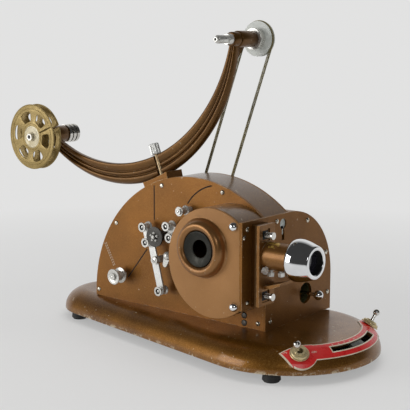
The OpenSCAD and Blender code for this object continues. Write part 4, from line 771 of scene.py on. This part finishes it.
# lamp house cover, its vent ring and the grey cone inside it
coverForm = {"at": (89.5, 102.0), "r": 54.0, "flatX": 124.4, "front": -73.0, "thick": 2.5, "bevel": 0.7,
             "vent": (80.0, 116.0), "mouth": 17.2}
print("stage: lamp cover")
reach = math.acos((coverForm["flatX"] - coverForm["at"][0]) / coverForm["r"])
outline = arc(coverForm["at"], coverForm["r"], reach, 2 * math.pi - reach, 120)
coverDisc = cutFromSheet("coverDisc", [outline, circle(coverForm["vent"], coverForm["mouth"], 96)],
                         coverForm["front"], coverForm["thick"], coverForm["bevel"])
settle(coverDisc, "housing", "bronzeCoverEnamel", ("lamp_cover",))
ventAt = (coverForm["vent"][0], coverForm["front"], coverForm["vent"][1])
ringProfile = [(30.4, -0.6), (30.0, 0.15), (29.2, 0.45), (28.6, 1.0)]
ringProfile += quarter((22.4, 2.0), 5.8, 8.4, 4, 90, 14) + quarter((22.4, 5.6), 4.8, 4.8, 98, 180, 10)
ringProfile += [(17.6, 2.0), (17.6, -0.6), (30.4, -0.6)]
ventRing = turnOnLathe("ventRing", ringProfile, ventAt, (0, -1, 0), 120)
settle(ventRing, "housing", "bronzeRingEnamel", ("lamp_cover",))
coneProfile = [(17.3, 3.0), (17.3, 8.2), (16.6, 8.5), (15.8, 8.0), (10.4, 5.6), (9.4, 5.4), (8.8, 4.9),
               (9.0, 4.2), (10.2, 4.2), (15.6, 6.4), (16.0, 3.0), (17.3, 3.0)]
ventCone = turnOnLathe("ventCone", coneProfile, ventAt, (0, -1, 0), 96)
settle(ventCone, "housing", "ventGreyMetal", ("vent_disc",))

# two large domed nuts hold the cover
domeForm = {"places": ((117.5, 141.3), (118.4, 63.8)), "r": 4.6, "low": 0.5, "rise": 4.5}
domeProfile = [(0.0, -0.6), (4.2, -0.6), (domeForm["r"], -0.2), (domeForm["r"], domeForm["low"])]
domeProfile += quarter((0, domeForm["low"]), domeForm["r"], domeForm["rise"], 8, 90, 10)
domes = [turnOnLathe("coverDome", domeProfile, (x, coverForm["front"], z), (0, -1, 0), 48)
         for x, z in domeForm["places"]]
coverDomes = joinPieces("coverDomes", domes)
settle(coverDomes, "housing", "polishedChrome", ("cover_nuts",))

# lens bell with its black throat
lensForm = {"at": (167.5, -47.0, 112.6), "throat": 11.7, "throatFrom": 147.5}
print("stage: lens")
bellProfile = [(13.9, 2.0), (18.0, 2.0), (18.9, 2.35), (19.55, 3.1), (19.95, 4.2), (20.2, 5.4), (20.3, 6.8),
               (20.2, 8.6), (19.95, 10.6), (19.5, 12.8), (18.95, 15.0), (18.3, 17.2), (17.6, 19.4),
               (16.95, 21.4), (16.4, 23.2), (16.0, 24.5), (15.75, 25.2), (15.3, 25.75), (14.7, 26.0),
               (12.3, 26.0), (11.9, 25.8), (11.6, 25.4), (11.6, 15.0), (9.0, 15.0), (9.0, -17.5),
               (11.0, -17.5), (11.0, 10.0), (13.9, 10.0), (13.9, 2.0)]
lensBell = turnOnLathe("lensBell", bellProfile, lensForm["at"], (1, 0, 0), 120)
settle(lensBell, "barrel", "polishedChrome", ("lens_barrel",))


def inThroat(point):
    off = math.hypot(point.y - lensForm["at"][1], point.z - lensForm["at"][2])
    return off < lensForm["throat"] and point.x > lensForm["throatFrom"]


paintFaces(lensBell, "blackInsideAndShade", inThroat)

# supply reel: two pressed flanges with six windows, rolled rims, a threading slot and a pale hub
reelForm = {"r": 36.0, "front": -52.5, "back": -41.5, "sheet": 1.0, "bevel": 0.25, "bore": 4.0, "slot": 22.0,
            "slotHalf": 0.8, "slotIn": 14.0, "windows": 6, "windowFrom": -8.0,
            "windowSpan": (16.8, 28.6, 18.5), "rim": 35.6, "rimWire": 0.85, "rimIn": 0.55, "rimGap": 1.1,
            "ribs": (31.6, 14.6), "ribWire": 0.5, "ribIn": 0.15, "ribGap": 4.0}
print("stage: reel")


# a window with soft corners, between two radii and within half an angle on each side
def windowLoop(angle, inner, outer, half):
    loop = []
    for c, s in circle((0, 0), 1, 56):
        r = (inner + outer) / 2 + (outer - inner) / 2 * math.copysign(abs(s) ** 0.5, s)
        a = math.radians(angle + half * math.copysign(abs(c) ** 0.5, c))
        loop.append((supplyAt[0] + r * math.cos(a), supplyAt[1] + r * math.sin(a)))
    return loop


slotA = math.radians(reelForm["slot"])
slotTurn = math.asin(reelForm["slotHalf"] / reelForm["r"])
rimLoop = arc(supplyAt, reelForm["r"], slotA + slotTurn, slotA + 2 * math.pi - slotTurn, 140)
slotSide = Vector((-math.sin(slotA), math.cos(slotA)))
slotWay = Vector((math.cos(slotA), math.sin(slotA)))
slotEnd = Vector(supplyAt) + slotWay * reelForm["slotIn"]
for s in (-1, 1):
    rimLoop.append(tuple(slotEnd + slotSide * (reelForm["slotHalf"] * s)))
windows = [windowLoop(reelForm["windowFrom"] + 360 * i / reelForm["windows"], *reelForm["windowSpan"])
           for i in range(reelForm["windows"])]
flangeFront = cutFromSheet("flangeFront", [rimLoop, circle(supplyAt, reelForm["bore"], 48)] + windows,
                           reelForm["front"], reelForm["sheet"], reelForm["bevel"])
flangeStep = reelForm["back"] - reelForm["front"] - reelForm["sheet"]
flangeBack = copyOf(flangeFront, "flangeBack", shift(0, flangeStep, 0))
gap = math.asin(reelForm["rimGap"] / reelForm["r"])
rimPath = arc(supplyAt, reelForm["rim"], slotA + gap, slotA + 2 * math.pi - gap, 144)
wires = [bendWire("rolledRim", atDepth(rimPath, y), reelForm["rimWire"], False)
         for y in (reelForm["front"] + reelForm["rimIn"], reelForm["back"] - reelForm["rimIn"])]
gap = math.radians(reelForm["ribGap"])
for r in reelForm["ribs"]:
    ribPath = arc(supplyAt, r, slotA + gap, slotA + 2 * math.pi - gap, 120)
    ribPath = atDepth(ribPath, reelForm["front"] + reelForm["ribIn"])
    wires.append(bendWire("pressedRib", ribPath, reelForm["ribWire"], False))
reelAt = (supplyAt[0], reelForm["front"], supplyAt[1])
coreProfile = [(4.0, 0.4), (12.0, 0.4), (12.0, 10.6), (4.0, 10.6), (4.0, 0.4)]
core = turnOnLathe("reelCore", coreProfile, reelAt, (0, 1, 0), 72)
supplyReel = joinPieces("supplyReel", [flangeFront, flangeBack, core] + wires)
settle(supplyReel, "supply", "goldReelSheet", ("supply_reel",))
hubProfile = [(4.1, 0.5), (4.1, -0.7), (5.0, -0.8), (5.4, -0.2), (10.6, -0.1), (11.6, -0.25), (12.4, 0.0),
              (12.8, 0.5), (4.1, 0.5)]
reelHub = turnOnLathe("reelHub", hubProfile, reelAt, (0, 1, 0), 72)
settle(reelHub, "supply", "paleHubSheet")
# black discs on the solid spindle tips: painted shade where a dark bore would be
spindleEnds = {"supply": (supplyAt, -56.5, 2.2), "takeup": (takeupAt, -58.0, 1.4)}
for body, ((x, z), y, r) in spindleEnds.items():
    endProfile = [(0.0, 0.3), (r, 0.3), (r, -0.04), (0.0, -0.04)]
    paintedBoreShade = turnOnLathe(body + "PaintedBoreShade", endProfile, (x, y, z), (0, 1, 0), 32)
    settle(paintedBoreShade, body, "blackInsideAndShade")

# spring belt: one close coil of wire round both pulleys
beltForm = {"low": (20.70665, 141.56737), "high": (82.8074, 314.81542), "r": 16.6, "y": 11.0, "coil": 1.3,
            "wire": 0.45, "curls": 420, "steps": 10}
print("stage: spring belt")
low, high = Vector(beltForm["low"]), Vector(beltForm["high"])
run = (high - low).length
ahead = (high - low).normalized()
right = Vector((ahead.y, -ahead.x))
half = math.pi * beltForm["r"]
total = 2 * run + 2 * half


# the belt's middle line and its outward side, at a distance along it
def beltAt(s):
    if s < run:
        return low + right * beltForm["r"] + ahead * s, right
    if s < run + half:
        a = (s - run) / beltForm["r"]
        out = right * math.cos(a) + ahead * math.sin(a)
        return high + out * beltForm["r"], out
    if s < 2 * run + half:
        return high - right * beltForm["r"] - ahead * (s - run - half), -right
    a = (s - 2 * run - half) / beltForm["r"]
    out = -right * math.cos(a) - ahead * math.sin(a)
    return low + out * beltForm["r"], out


coil = []
count = beltForm["curls"] * beltForm["steps"]
for i in range(count):
    place, out = beltAt(total * i / count)
    turn = 2 * math.pi * i / beltForm["steps"]
    flat = place + out * (beltForm["coil"] * math.cos(turn))
    coil.append((flat.x, beltForm["y"] + beltForm["coil"] * math.sin(turn), flat.y))
beltCoil = bendWire("beltCoil", coil, beltForm["wire"], True, 1)
settle(beltCoil, "housing", "oliveSpringWire", ("spring_belt",), 60)

# crescent arm: three ridges that thin out to both ends, with a boss at each end
armForm = {"at": (-82.441, 321.886), "r": 164.0, "up": (-10.671, 29.318), "upR": 171.4, "front": -25.0,
           "from": -41.55, "to": 87.55, "steps": 150, "full": 16.0, "ridges": 5.0, "webX": (74.6, 79.4),
           "web": ((-18.0, 297.0), (-18.0, 309.0), (-6.0, 309.0))}
armSection = [  # share of the width from the outer edge, depth behind the front
    (0.0, 5.6), (0.0, 4.4), (0.015, 3.4), (0.04, 2.5), (0.08, 1.55), (0.13, 0.75), (0.19, 0.2), (0.25, 0.0),
    (0.30, 0.15), (0.335, 0.6), (0.36, 1.5), (0.375, 2.5), (0.39, 2.6), (0.415, 1.7), (0.45, 0.95),
    (0.49, 0.55), (0.53, 0.5), (0.565, 0.8), (0.59, 1.6), (0.605, 2.4), (0.62, 2.5), (0.645, 1.9),
    (0.69, 1.45), (0.76, 1.1), (0.84, 0.85), (0.91, 0.75), (0.96, 0.9), (0.985, 1.3), (1.0, 2.0),
    (1.0, 6.2), (0.97, 7.3), (0.90, 7.5), (0.50, 7.5), (0.10, 7.5), (0.03, 6.8)]
clampForm = {"angle": 21.0, "screwY": -22.0, "notch": (3.25, -26.0, -18.75, 138.5, 190.0),
             "block": (12.0, -18.5, -10.5, 151.5, 162.5), "shank": (2.25, 140.6, 169.0),
             "knob": (5.3, 168.8, 180.3), "knurls": 64, "knurlDeep": 0.16, "knobEdge": 0.6, "knobEnd": 0.9}
print("stage: arm")
up = Vector(armForm["up"])
armPoints = []
for i in range(armForm["steps"] + 1):
    a = math.radians(armForm["from"] + (armForm["to"] - armForm["from"]) * i / armForm["steps"])
    way = Vector((math.sin(a), -math.cos(a)))
    inner = way.dot(up) + math.sqrt(way.dot(up) ** 2 - up.length_squared + armForm["upR"] ** 2)
    wide = armForm["r"] - inner
    for share, deep in armSection:
        spot = Vector(armForm["at"]) + way * (armForm["r"] - share * wide)
        deep *= min(1.0, wide / armForm["full"]) if deep < armForm["ridges"] else 1.0
        armPoints.append((spot.x, armForm["front"] + deep, spot.y))
size = len(armSection)
armFaces = stitch(range(armForm["steps"]), size, armForm["steps"] + 1)
armFaces += [list(range(size)), [armForm["steps"] * size + j for j in reversed(range(size))]]
armBow = addMesh("armBow", armPoints, (), armFaces)
mergeAndTurnOut(armBow)
clampPlace = shift(archAt[0], 0, archAt[1]) @ Matrix.Rotation(-math.radians(clampForm["angle"]), 4, "Y")


# a block square to the clamp screw: half its width, its Y from and to, its reach from the arch's centre
def clampBox(name, half, y0, y1, low, high):
    middle = shift(0, (y0 + y1) / 2, (low + high) / 2)
    return block(name, clampPlace @ middle @ stretch(2 * half, y1 - y0, high - low))


cutAway(armBow, clampBox("clampNotch", *clampForm["notch"]))
clampBlock = clampBox("clampBlock", *clampForm["block"])
supplyBoss = [(4.05, 0.0), (8.9, 0.0), (9.5, 0.3), (9.7, 0.9), (9.7, 21.3), (9.3, 22.0), (4.05, 22.0),
              (4.05, 0.0)]
takeupBoss = [(4.05, 0.0), (7.2, 0.0), (7.8, 0.4), (8.0, 1.0), (8.0, 24.3), (7.6, 25.0), (4.05, 25.0),
              (4.05, 0.0)]
bosses = [turnOnLathe("armBoss", profile, (at[0], armForm["front"], at[1]), (0, 1, 0), 72)
          for profile, at in ((supplyBoss, supplyAt), (takeupBoss, takeupAt))]
webPoints = [(x, y, z) for x in armForm["webX"] for y, z in armForm["web"]]
web = addMesh("armWeb", webPoints, (), [(0, 1, 2), (5, 4, 3), (0, 3, 4, 1), (1, 4, 5, 2), (2, 5, 3, 0)])
mergeAndTurnOut(web)
armCasting = joinPieces("armCasting", [armBow, clampBlock, web] + bosses)
settle(armCasting, "housing", "bronzeArmEnamel", ("reel_arm",), 42)

# take-up spindle: bright pin and rings, with an enamelled collar in front of the arm
pinProfile = [(0.0, 58.0), (2.2, 58.0), (2.5, 57.7), (2.6, 56.8), (2.2, 56.3), (2.3, 55.9), (3.7, 55.2),
              (3.95, 54.8), (3.95, 41.3), (5.0, 41.3), (5.2, 41.0), (5.2, 35.0), (3.95, 35.0), (3.95, -0.3),
              (10.4, -0.3), (10.7, -0.6), (10.7, -3.0), (10.4, -3.3), (9.6, -3.5), (9.6, -7.8),
              (3.95, -7.8), (3.95, -17.0), (0.0, -17.0)]
collarProfile = [(4.0, 35.0), (5.6, 35.0), (6.5, 34.6), (7.0, 33.7), (7.0, 25.35), (4.0, 25.35), (4.0, 35.0)]
spindleAt = (takeupAt[0], 0.0, takeupAt[1])
takeupPin = turnOnLathe("takeupPin", pinProfile, spindleAt, (0, -1, 0), 56)
settle(takeupPin, "takeup", "satinNickel", ("takeup_spindle",))
takeupCollar = turnOnLathe("takeupCollar", collarProfile, spindleAt, (0, -1, 0), 56)
settle(takeupCollar, "takeup", "bronzeArmEnamel", ("takeup_spindle",))

# thumbscrew: knurled knob on a plain shank
knobR, knobLow, knobHigh = clampForm["knob"]
knobRings = [(knobLow, clampForm["knobEnd"]), (knobLow + clampForm["knobEdge"], 1.0),
             (knobHigh - clampForm["knobEdge"], 1.0), (knobHigh, clampForm["knobEnd"])]
knobPoints = []
count = 2 * clampForm["knurls"]
for h, share in knobRings:
    for i in range(count):
        a = 2 * math.pi * i / count
        r = (knobR if i % 2 else knobR - clampForm["knurlDeep"]) * share
        knobPoints.append((r * math.cos(a), r * math.sin(a), h))
knobFaces = stitch(range(len(knobRings) - 1), count, len(knobRings))
knobFaces += [list(reversed(range(count))), [(len(knobRings) - 1) * count + i for i in range(count)]]
screwPlace = clampPlace @ shift(0, clampForm["screwY"], 0)
thumbKnob = addMesh("thumbKnob", knobPoints, (), knobFaces)
mergeAndTurnOut(thumbKnob)
thumbKnob.data.transform(screwPlace)
settle(thumbKnob, "clamp", "satinSilver", ("thumbscrew",), 20)
shankR, shankLow, shankHigh = clampForm["shank"]
shankProfile = [(0.0, shankLow), (shankR, shankLow), (shankR, shankHigh), (0.0, shankHigh)]
thumbShank = turnOnLathe("thumbShank", shankProfile, (0, 0, 0), (0, 0, 1), 40)
thumbShank.data.transform(screwPlace)
settle(thumbShank, "clamp", "warmNickel", ("thumbscrew",))

# gate springs under the stud heads, squeezed by the carrier
springForm = {"from": 139.2, "to": 146.5, "r": 2.55, "wire": 0.36, "turns": 5, "steps": 20}
springs = []
for z in studHeights:
    path = []
    count = springForm["turns"] * springForm["steps"]
    start, end = springForm["from"] + springForm["wire"], springForm["to"] - springForm["wire"]
    for i in range(count + 1):
        turn = 2 * math.pi * i / springForm["steps"]
        path.append((start + (end - start) * i / count, studY + springForm["r"] * math.cos(turn),
                     z + springForm["r"] * math.sin(turn)))
    springs.append(bendWire("gateCoil", path, springForm["wire"], False))
gateCoils = joinPieces("gateCoils", springs)
settle(gateCoils, "housing", "wornNickel", ("gate_springs",), 60)
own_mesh(gateCoils)

# slotted screw heads on the plates: the rim's as (angle, inset), the front plate's as (Y, Z)
screwForm = {"r": 2.5, "h": 1.5, "slot": 0.55, "deep": 0.6, "sideTurns": (40, 67), "frontTurns": (15, 53),
             "rim": ((143.1, 5.4), (178.8, 4.2), (108.0, 5.6), (73.2, 5.9)), "corner": (118.6, 39.1),
             "front": ((-17.5, 139.7), (35.8, 133.6), (70.8, 94.9), (74.8, 51.7), (-27.0, 40.7),
                       (-65.0, 138.7), (-69.4, 131.1), (-64.2, 67.4))}
leverScrew = {"at": (-4.4, -48.35, 87.9), "turn": -42, "r": 4.5, "h": 2.9, "slot": 0.9, "deep": 1.1}
print("stage: screws")


def slottedHead(name, at, axis, turn, form):
    r, h = form["r"], form["h"]
    profile = [(0.0, -0.3), (r * 0.9, -0.3), (r, 0.0)] + quarter((0, 0.1), r, h - 0.1, 10, 90, 8)
    head = turnOnLathe(name, profile, at, axis, 32)
    facing = Vector(axis).to_track_quat("Z", "Y").to_matrix().to_4x4()
    turned = Matrix.Rotation(math.radians(turn), 4, "Z")
    above = shift(0, 0, h + 1 - form["deep"]) @ stretch(2.6 * r, form["slot"], 2)
    cutAway(head, block("slotBlade", shift(*at) @ facing @ turned @ above))
    return head


sideScrews = [(archAt[0] + (archR - inset) * math.cos(math.radians(a)),
               archAt[1] + (archR - inset) * math.sin(math.radians(a))) for a, inset in screwForm["rim"]]
sideScrews.append(screwForm["corner"])
turn, step = screwForm["sideTurns"]
heads = [slottedHead("plateScrew", (x, sideFace, z), (0, -1, 0), turn + step * i, screwForm)
         for i, (x, z) in enumerate(sideScrews)]
turn, step = screwForm["frontTurns"]
heads += [slottedHead("plateScrew", (frontFace, y, z), (1, 0, 0), turn + step * i, screwForm)
          for i, (y, z) in enumerate(screwForm["front"])]
plateScrews = joinPieces("plateScrews", heads)
settle(plateScrews, "housing", "paleScrewPlate", ("plate_screws",))

# film rollers: white-rimmed spools with a black ring and a domed pin end
rollerForm = {"front": -53.0, "ring": (1.5, 2.72), "ringDeep": 2.0}
print("stage: rollers")
rim = [(2.9, 0.12), (4.7, 0.12), (4.95, 0.4), (5.0, 0.9), (4.9, 1.5), (3.4, 2.4), (3.2, 3.2), (3.2, 8.8),
       (3.4, 9.6), (4.9, 10.5), (5.0, 11.2), (4.85, 11.7), (4.4, 11.85)]
spool = [(0.0, 0.5), (0.8, 0.55), (1.3, 0.8), (1.5, 1.2), (1.5, 1.9), (2.7, 1.9), (2.7, 0.35)]
spool += rim + [(0.0, 11.85)]
ringSpool = [(2.2, 1.9), (2.7, 1.9), (2.7, 0.35)] + rim + [(2.2, 11.85), (2.2, 1.9)]
guideSpool = [(2.2, 1.3), (2.7, 1.2), (2.7, 0.35), (3.0, 0.15), (8.1, 0.0), (8.4, 0.25), (8.5, 0.7),
              (8.4, 1.3), (5.6, 2.4), (5.2, 3.4), (5.2, 8.6), (5.6, 9.6), (8.4, 10.7), (8.5, 11.6),
              (8.2, 12.0), (3.2, 11.2), (2.2, 11.2), (2.2, 1.3)]
rollerKinds = (
    ("roller_a", "keeper_a", spool, (-19.3, 121.3)), ("roller_b", "keeper_b", spool, (-15.0, 105.6)),
    ("foot_roller", "keeper_foot", spool, (2.5, 56.4)), ("roller_c", "pair_c", spool, (13.5, 126.0)),
    ("roller_d", "pair_d", spool, (17.5, 114.5)), ("feed_roller", "feed", ringSpool, feedAt),
    ("guide_roller", "guide", guideSpool, guideAt),
)


# whether a point lies in the black ring of the roller at x and z
def inRing(point, x, z):
    off = math.hypot(point.x - x, point.z - z)
    sunk = point.y < rollerForm["front"] + rollerForm["ringDeep"]
    return rollerForm["ring"][0] < off < rollerForm["ring"][1] and sunk


for nodeName, body, profile, (x, z) in rollerKinds:
    roller = turnOnLathe(nodeName.replace("_", "") + "Spool", profile, (x, rollerForm["front"], z),
                         (0, 1, 0), 64)
    settle(roller, body, "satinNickel", (nodeName,))
    paintFaces(roller, "blackInsideAndShade", lambda point: inRing(point, x, z))

# domed ends on the fixed posts and the slotted screw of the keeper lever
postForm = {"y": -53.6, "r": 2.0, "low": 0.2, "rise": 1.3}
postProfile = [(0.0, -1.8), (postForm["r"], -1.8), (postForm["r"], postForm["low"])]
postProfile += quarter((0, postForm["low"]), postForm["r"], postForm["rise"], 10, 90, 8)
postEnds = [turnOnLathe("postEnd", postProfile, (x, postForm["y"], z), (0, -1, 0), 40)
            for x, z in (guideAt, feedAt)]
postEnds.append(slottedHead("leverScrew", leverScrew["at"], (0, -1, 0), leverScrew["turn"], leverScrew))
postCaps = joinPieces("postCaps", postEnds)
settle(postCaps, "housing", "wornNickel")

# cluster on the dark sprocket disc, in a pale colour that is a painted highlight on its bright studs
clusterForm = {"at": (-0.6, 113.8), "y": -54.2, "ring": 4.0, "count": 5}
bossProfile = [(0.0, -0.4), (2.6, -0.4), (2.6, 1.6)] + quarter((0, 1.6), 2.6, 1.4, 15, 90, 6)
knobProfile = [(0.0, -0.3), (1.5, -0.3), (1.5, 0.5)] + quarter((0, 0.5), 1.5, 1.1, 15, 90, 5)
bossAt = (clusterForm["at"][0], clusterForm["y"], clusterForm["at"][1])
cluster = [turnOnLathe("sprocketBoss", bossProfile, bossAt, (0, -1, 0), 40)]
around = arc(clusterForm["at"], clusterForm["ring"], math.pi / 2, 2.5 * math.pi, clusterForm["count"])
for spot in atDepth(around[:-1], clusterForm["y"]):
    cluster.append(turnOnLathe("bossStud", knobProfile, spot, (0, -1, 0), 20))
sprocketCluster = joinPieces("sprocketCluster", cluster)
settle(sprocketCluster, "sprocket", "paleHighlightPaint")

# dark threading lines on the side plate, and the white dashed guide line
lineForm = {"proud": 0.03, "thick": 0.3, "wide": 1.5,
            "straight": (((-17.3, 127.0), (-17.3, 163.6)), ((-56.3, 59.5), (-27.8, 94.6))),
            "curveAt": (71.0, 120.0), "curveR": 51.55, "curveRise": 29.2, "curveOver": -11.2, "curveSteps": 24}
dashForm = {"proud": 0.12, "thick": 0.2, "wide": 0.5, "long": 1.7, "rest": 1.1, "apart": 1.1,
            "from": (-89.7, 93.4), "to": (-75.3, 67.0)}
print("stage: threading lines")


def strip(name, start, end, form):
    start, end = Vector(start), Vector(end)
    way, middle = end - start, (start + end) / 2
    turn = Matrix.Rotation(-math.atan2(way.y, way.x), 4, "Y")
    return block(name, shift(middle.x, sideFace - form["proud"] + form["thick"] / 2, middle.y) @ turn
                 @ stretch(way.length, form["thick"], form["wide"]))


curveFrom = math.pi - math.asin(lineForm["curveRise"] / lineForm["curveR"])
curveTo = math.acos(lineForm["curveOver"] / lineForm["curveR"])
curve = arc(lineForm["curveAt"], lineForm["curveR"], curveFrom, curveTo, lineForm["curveSteps"])
lines = [strip("threadLine", p, q, lineForm) for p, q in (*lineForm["straight"], *zip(curve, curve[1:]))]
threadLines = joinPieces("threadLines", lines)
settle(threadLines, "housing", "threadLineBrown")
first, last = Vector(dashForm["from"]), Vector(dashForm["to"])
way = (last - first).normalized()
side = Vector((-way.y, way.x))
pace = dashForm["long"] + dashForm["rest"]
dashes = []
for i in range(int((last - first).length / pace)):
    for s in (-1, 1):
        p = first + way * (i * pace) + side * (dashForm["apart"] * s)
        dashes.append(strip("guideDash", p, p + way * dashForm["long"], dashForm))
guideDashes = joinPieces("guideDashes", dashes)
settle(guideDashes, "housing", "creamPaint")

# two dark plugs low on the side plate
plugForm = {"x": 101.7, "heights": (44.7, 37.2)}
plugProfile = [(0.0, -0.3), (3.1, -0.3), (3.2, 0.5), (2.7, 0.9), (2.3, 0.5), (0.0, 0.9)]
plugs = [turnOnLathe("sidePlug", plugProfile, (plugForm["x"], sideFace, z), (0, -1, 0), 36)
         for z in plugForm["heights"]]
sidePlugs = joinPieces("sidePlugs", plugs)
settle(sidePlugs, "housing", "darkPlatedDisc")

# pale liner in the keyhole, olive wall in the framing hole, and black pads in the carrier's recesses as
# painted shade
linerForm = {"key": (125.0, -6.6, 135.8), "keyThick": 0.8, "neckDrop": 6.6, "neck": (0.8, 4.2, 8.6),
             "cup": (115.2, 34.4, 58.1), "padX": 138.88, "pad": (0.1, 8.6, 8.6), "padHole": 1.9,
             "padHoleDeep": 10.0}
print("stage: liners")
keyX, keyY, keyZ = linerForm["key"]
keyProfile = [(0.0, 0.0), (5.2, 0.0), (5.2, linerForm["keyThick"]), (0.0, linerForm["keyThick"])]
keyDisc = turnOnLathe("keyDisc", keyProfile, linerForm["key"], (1, 0, 0), 48)
neckPlace = shift(keyX + linerForm["keyThick"] / 2, keyY, keyZ - linerForm["neckDrop"])
keyLiner = joinPieces("keyLiner", [keyDisc, block("keyNeck", neckPlace @ stretch(*linerForm["neck"]))])
settle(keyLiner, "housing", "keyholeGrey")
cupProfile = [(10.9, 0.0), (10.9, 9.0), (10.2, 9.0), (10.2, 0.0), (10.9, 0.0)]
framingCup = turnOnLathe("framingCup", cupProfile, linerForm["cup"], (1, 0, 0), 64)
settle(framingCup, "housing", "oliveInside")
# black pads at the floor of the carrier's recesses: painted shade
pads = []
for z in studHeights:
    padAt = (linerForm["padX"], studY, z)
    pads.append(block("studShadePad", shift(*padAt) @ stretch(*linerForm["pad"])))
    cutAway(pads[-1], rod(linerForm["padHole"], linerForm["padHoleDeep"], padAt, (1, 0, 0), 40))
studShadePads = joinPieces("studShadePads", pads)
settle(studShadePads, "gate", "blackInsideAndShade")

# ticks and the plain ON and OFF on the control plate
tickForm = {"slope": 19.0, "from": -22.0, "step": 5.5, "count": 9, "long": 1.5, "wide": 0.55, "thick": 0.12,
            "lift": 1.0, "every": 4, "longer": 1.5}
wordForm = {"size": 3.0, "thick": 0.06, "slope": 36.0,
            "words": (("ON", -56.6), ("OFF", -37.6), ("OFF", 37.6), ("ON", 56.6))}
print("stage: scale")
marks = []


def layOnPlate(obj, angle, slope):
    down, along, out = edgeFrame(angle, slope)
    basis = Matrix((along, -down, out)).transposed().to_4x4()
    obj.data.transform(shift(*edgePoint(angle, slope, tickForm["lift"])) @ basis)
    marks.append(obj)


for i in range(tickForm["count"]):
    tall = tickForm["long"] * (1.0 if i % tickForm["every"] else tickForm["longer"])
    tick = block("plateTick", stretch(tickForm["wide"], tall, tickForm["thick"]))
    layOnPlate(tick, tickForm["from"] + tickForm["step"] * i, tickForm["slope"])
for text, angle in wordForm["words"]:
    letters = bpy.data.curves.new("plateWord", "FONT")
    letters.body = text
    letters.size = wordForm["size"] * mm
    letters.align_x = "CENTER"
    letters.align_y = "CENTER"
    letters.extrude = wordForm["thick"] * mm
    word = bpy.data.objects.new("plateWord", letters)
    scene.collection.objects.link(word)
    pick(word)
    bpy.ops.object.convert(target="MESH")
    layOnPlate(bpy.context.object, angle, wordForm["slope"])
plateMarks = joinPieces("plateMarks", marks)
settle(plateMarks, "housing", "creamPaint")

# floor and sky, in metres: pale to the camera, a pale backdrop and a dark room to what shines
studio = {"floor": 12.0, "pale": (0.76, 0.76, 0.757), "fadeFrom": 0.3, "fadeTo": 0.85,
          "paper": (0.92, 0.92, 0.915), "paperRough": 0.9, "near": 0.45, "sky": 0.36, "room": 0.06,
          "back": (-0.63, 0.77, -0.45), "floorRoom": (-1.0, -0.4), "skyRoom": (0.12, 0.55),
          "aim": (0.02, 0, 0.14)}
print("stage: studio")


def alongBack(tree, vector):
    n = tree.nodes.new("ShaderNodeVectorMath")
    n.operation = "DOT_PRODUCT"
    tree.links.new(vector, n.inputs[0])
    n.inputs[1].default_value = studio["back"]
    return n.outputs["Value"]


# whether a ray sees the studio as painted, and how bright it then is
def seenAs(tree, vector, room):
    rays = tree.nodes.new("ShaderNodeLightPath").outputs
    plain = sums(tree, "MAXIMUM", rays["Is Camera Ray"], rays["Is Transmission Ray"])
    backdrop = span(tree, alongBack(tree, vector), *room, studio["room"], 1.0)
    mirrored = sums(tree, "MULTIPLY", rays["Is Glossy Ray"], backdrop)
    return sums(tree, "MAXIMUM", plain, rays["Is Glossy Ray"]), sums(tree, "MAXIMUM", plain, mirrored)


clearSelection()
bpy.ops.mesh.primitive_circle_add(vertices=96, radius=studio["floor"], fill_type="NGON", location=(0, 0, 0))
floor = bpy.context.object
floor.name = "studioFloor"
floorPaint, tree, shader, coords = newFinish("studioFloorPaper")
shader.inputs["Base Color"].default_value = (*studio["paper"], 1)
shader.inputs["Roughness"].default_value = studio["paperRough"]
glow = tree.nodes.new("ShaderNodeEmission")
glow.inputs["Color"].default_value = (*studio["pale"], 1)
fromMiddle = tree.nodes.new("ShaderNodeVectorMath")
fromMiddle.operation = "LENGTH"
tree.links.new(coords, fromMiddle.inputs[0])
far = span(tree, fromMiddle.outputs["Value"], studio["fadeFrom"], studio["fadeTo"], studio["near"], 1.0)
seen, tone = seenAs(tree, coords, studio["floorRoom"])
tree.links.new(tone, glow.inputs["Strength"])
share = tree.nodes.new("ShaderNodeMixShader")
tree.links.new(sums(tree, "MULTIPLY", far, seen), share.inputs[0])
tree.links.new(shader.outputs[0], share.inputs[1])
tree.links.new(glow.outputs[0], share.inputs[2])
tree.links.new(share.outputs[0], tree.nodes["Material Output"].inputs[0])
floor.data.materials.append(floorPaint)

world = bpy.data.worlds.new("studioSky")
scene.world = world
world.use_nodes = True
sky = world.node_tree
sky.nodes.clear()
skyOut = sky.nodes.new("ShaderNodeOutputWorld")
skyLight = sky.nodes.new("ShaderNodeBackground")
skyWay = sky.nodes.new("ShaderNodeTexCoord").outputs["Generated"]
skyLight.inputs["Color"].default_value = (*studio["pale"], 1)
seen, tone = seenAs(sky, skyWay, studio["skyRoom"])
hidden = span(sky, seen, 0.0, 1.0, studio["sky"], 0.0)
sky.links.new(sums(sky, "ADD", hidden, tone), skyLight.inputs["Strength"])
sky.links.new(skyLight.outputs[0], skyOut.inputs[0])

lamps = {
    "keyLight": {"place": (-0.95, -1.5, 0.4), "size": 1.2, "power": 16.0, "mirrored": True},
    "topLight": {"place": (0.1, 0.1, 1.6), "size": 1.5, "power": 9.0, "mirrored": False},
    "sideLight": {"place": (1.5, -1.3, 1.0), "size": 0.5, "power": 3.5, "mirrored": True},
}
for name, lamp in lamps.items():
    light = bpy.data.lights.new(name, "AREA")
    light.size = lamp["size"]
    light.energy = lamp["power"]
    holder = bpy.data.objects.new(name, light)
    scene.collection.objects.link(holder)
    holder.visible_glossy = lamp["mirrored"]  # whether it shows in what shines
    holder.location = lamp["place"]
    aim = (Vector(studio["aim"]) - Vector(lamp["place"])).to_track_quat("-Z", "Y")
    holder.rotation_euler = aim.to_euler()

print("stage: done")
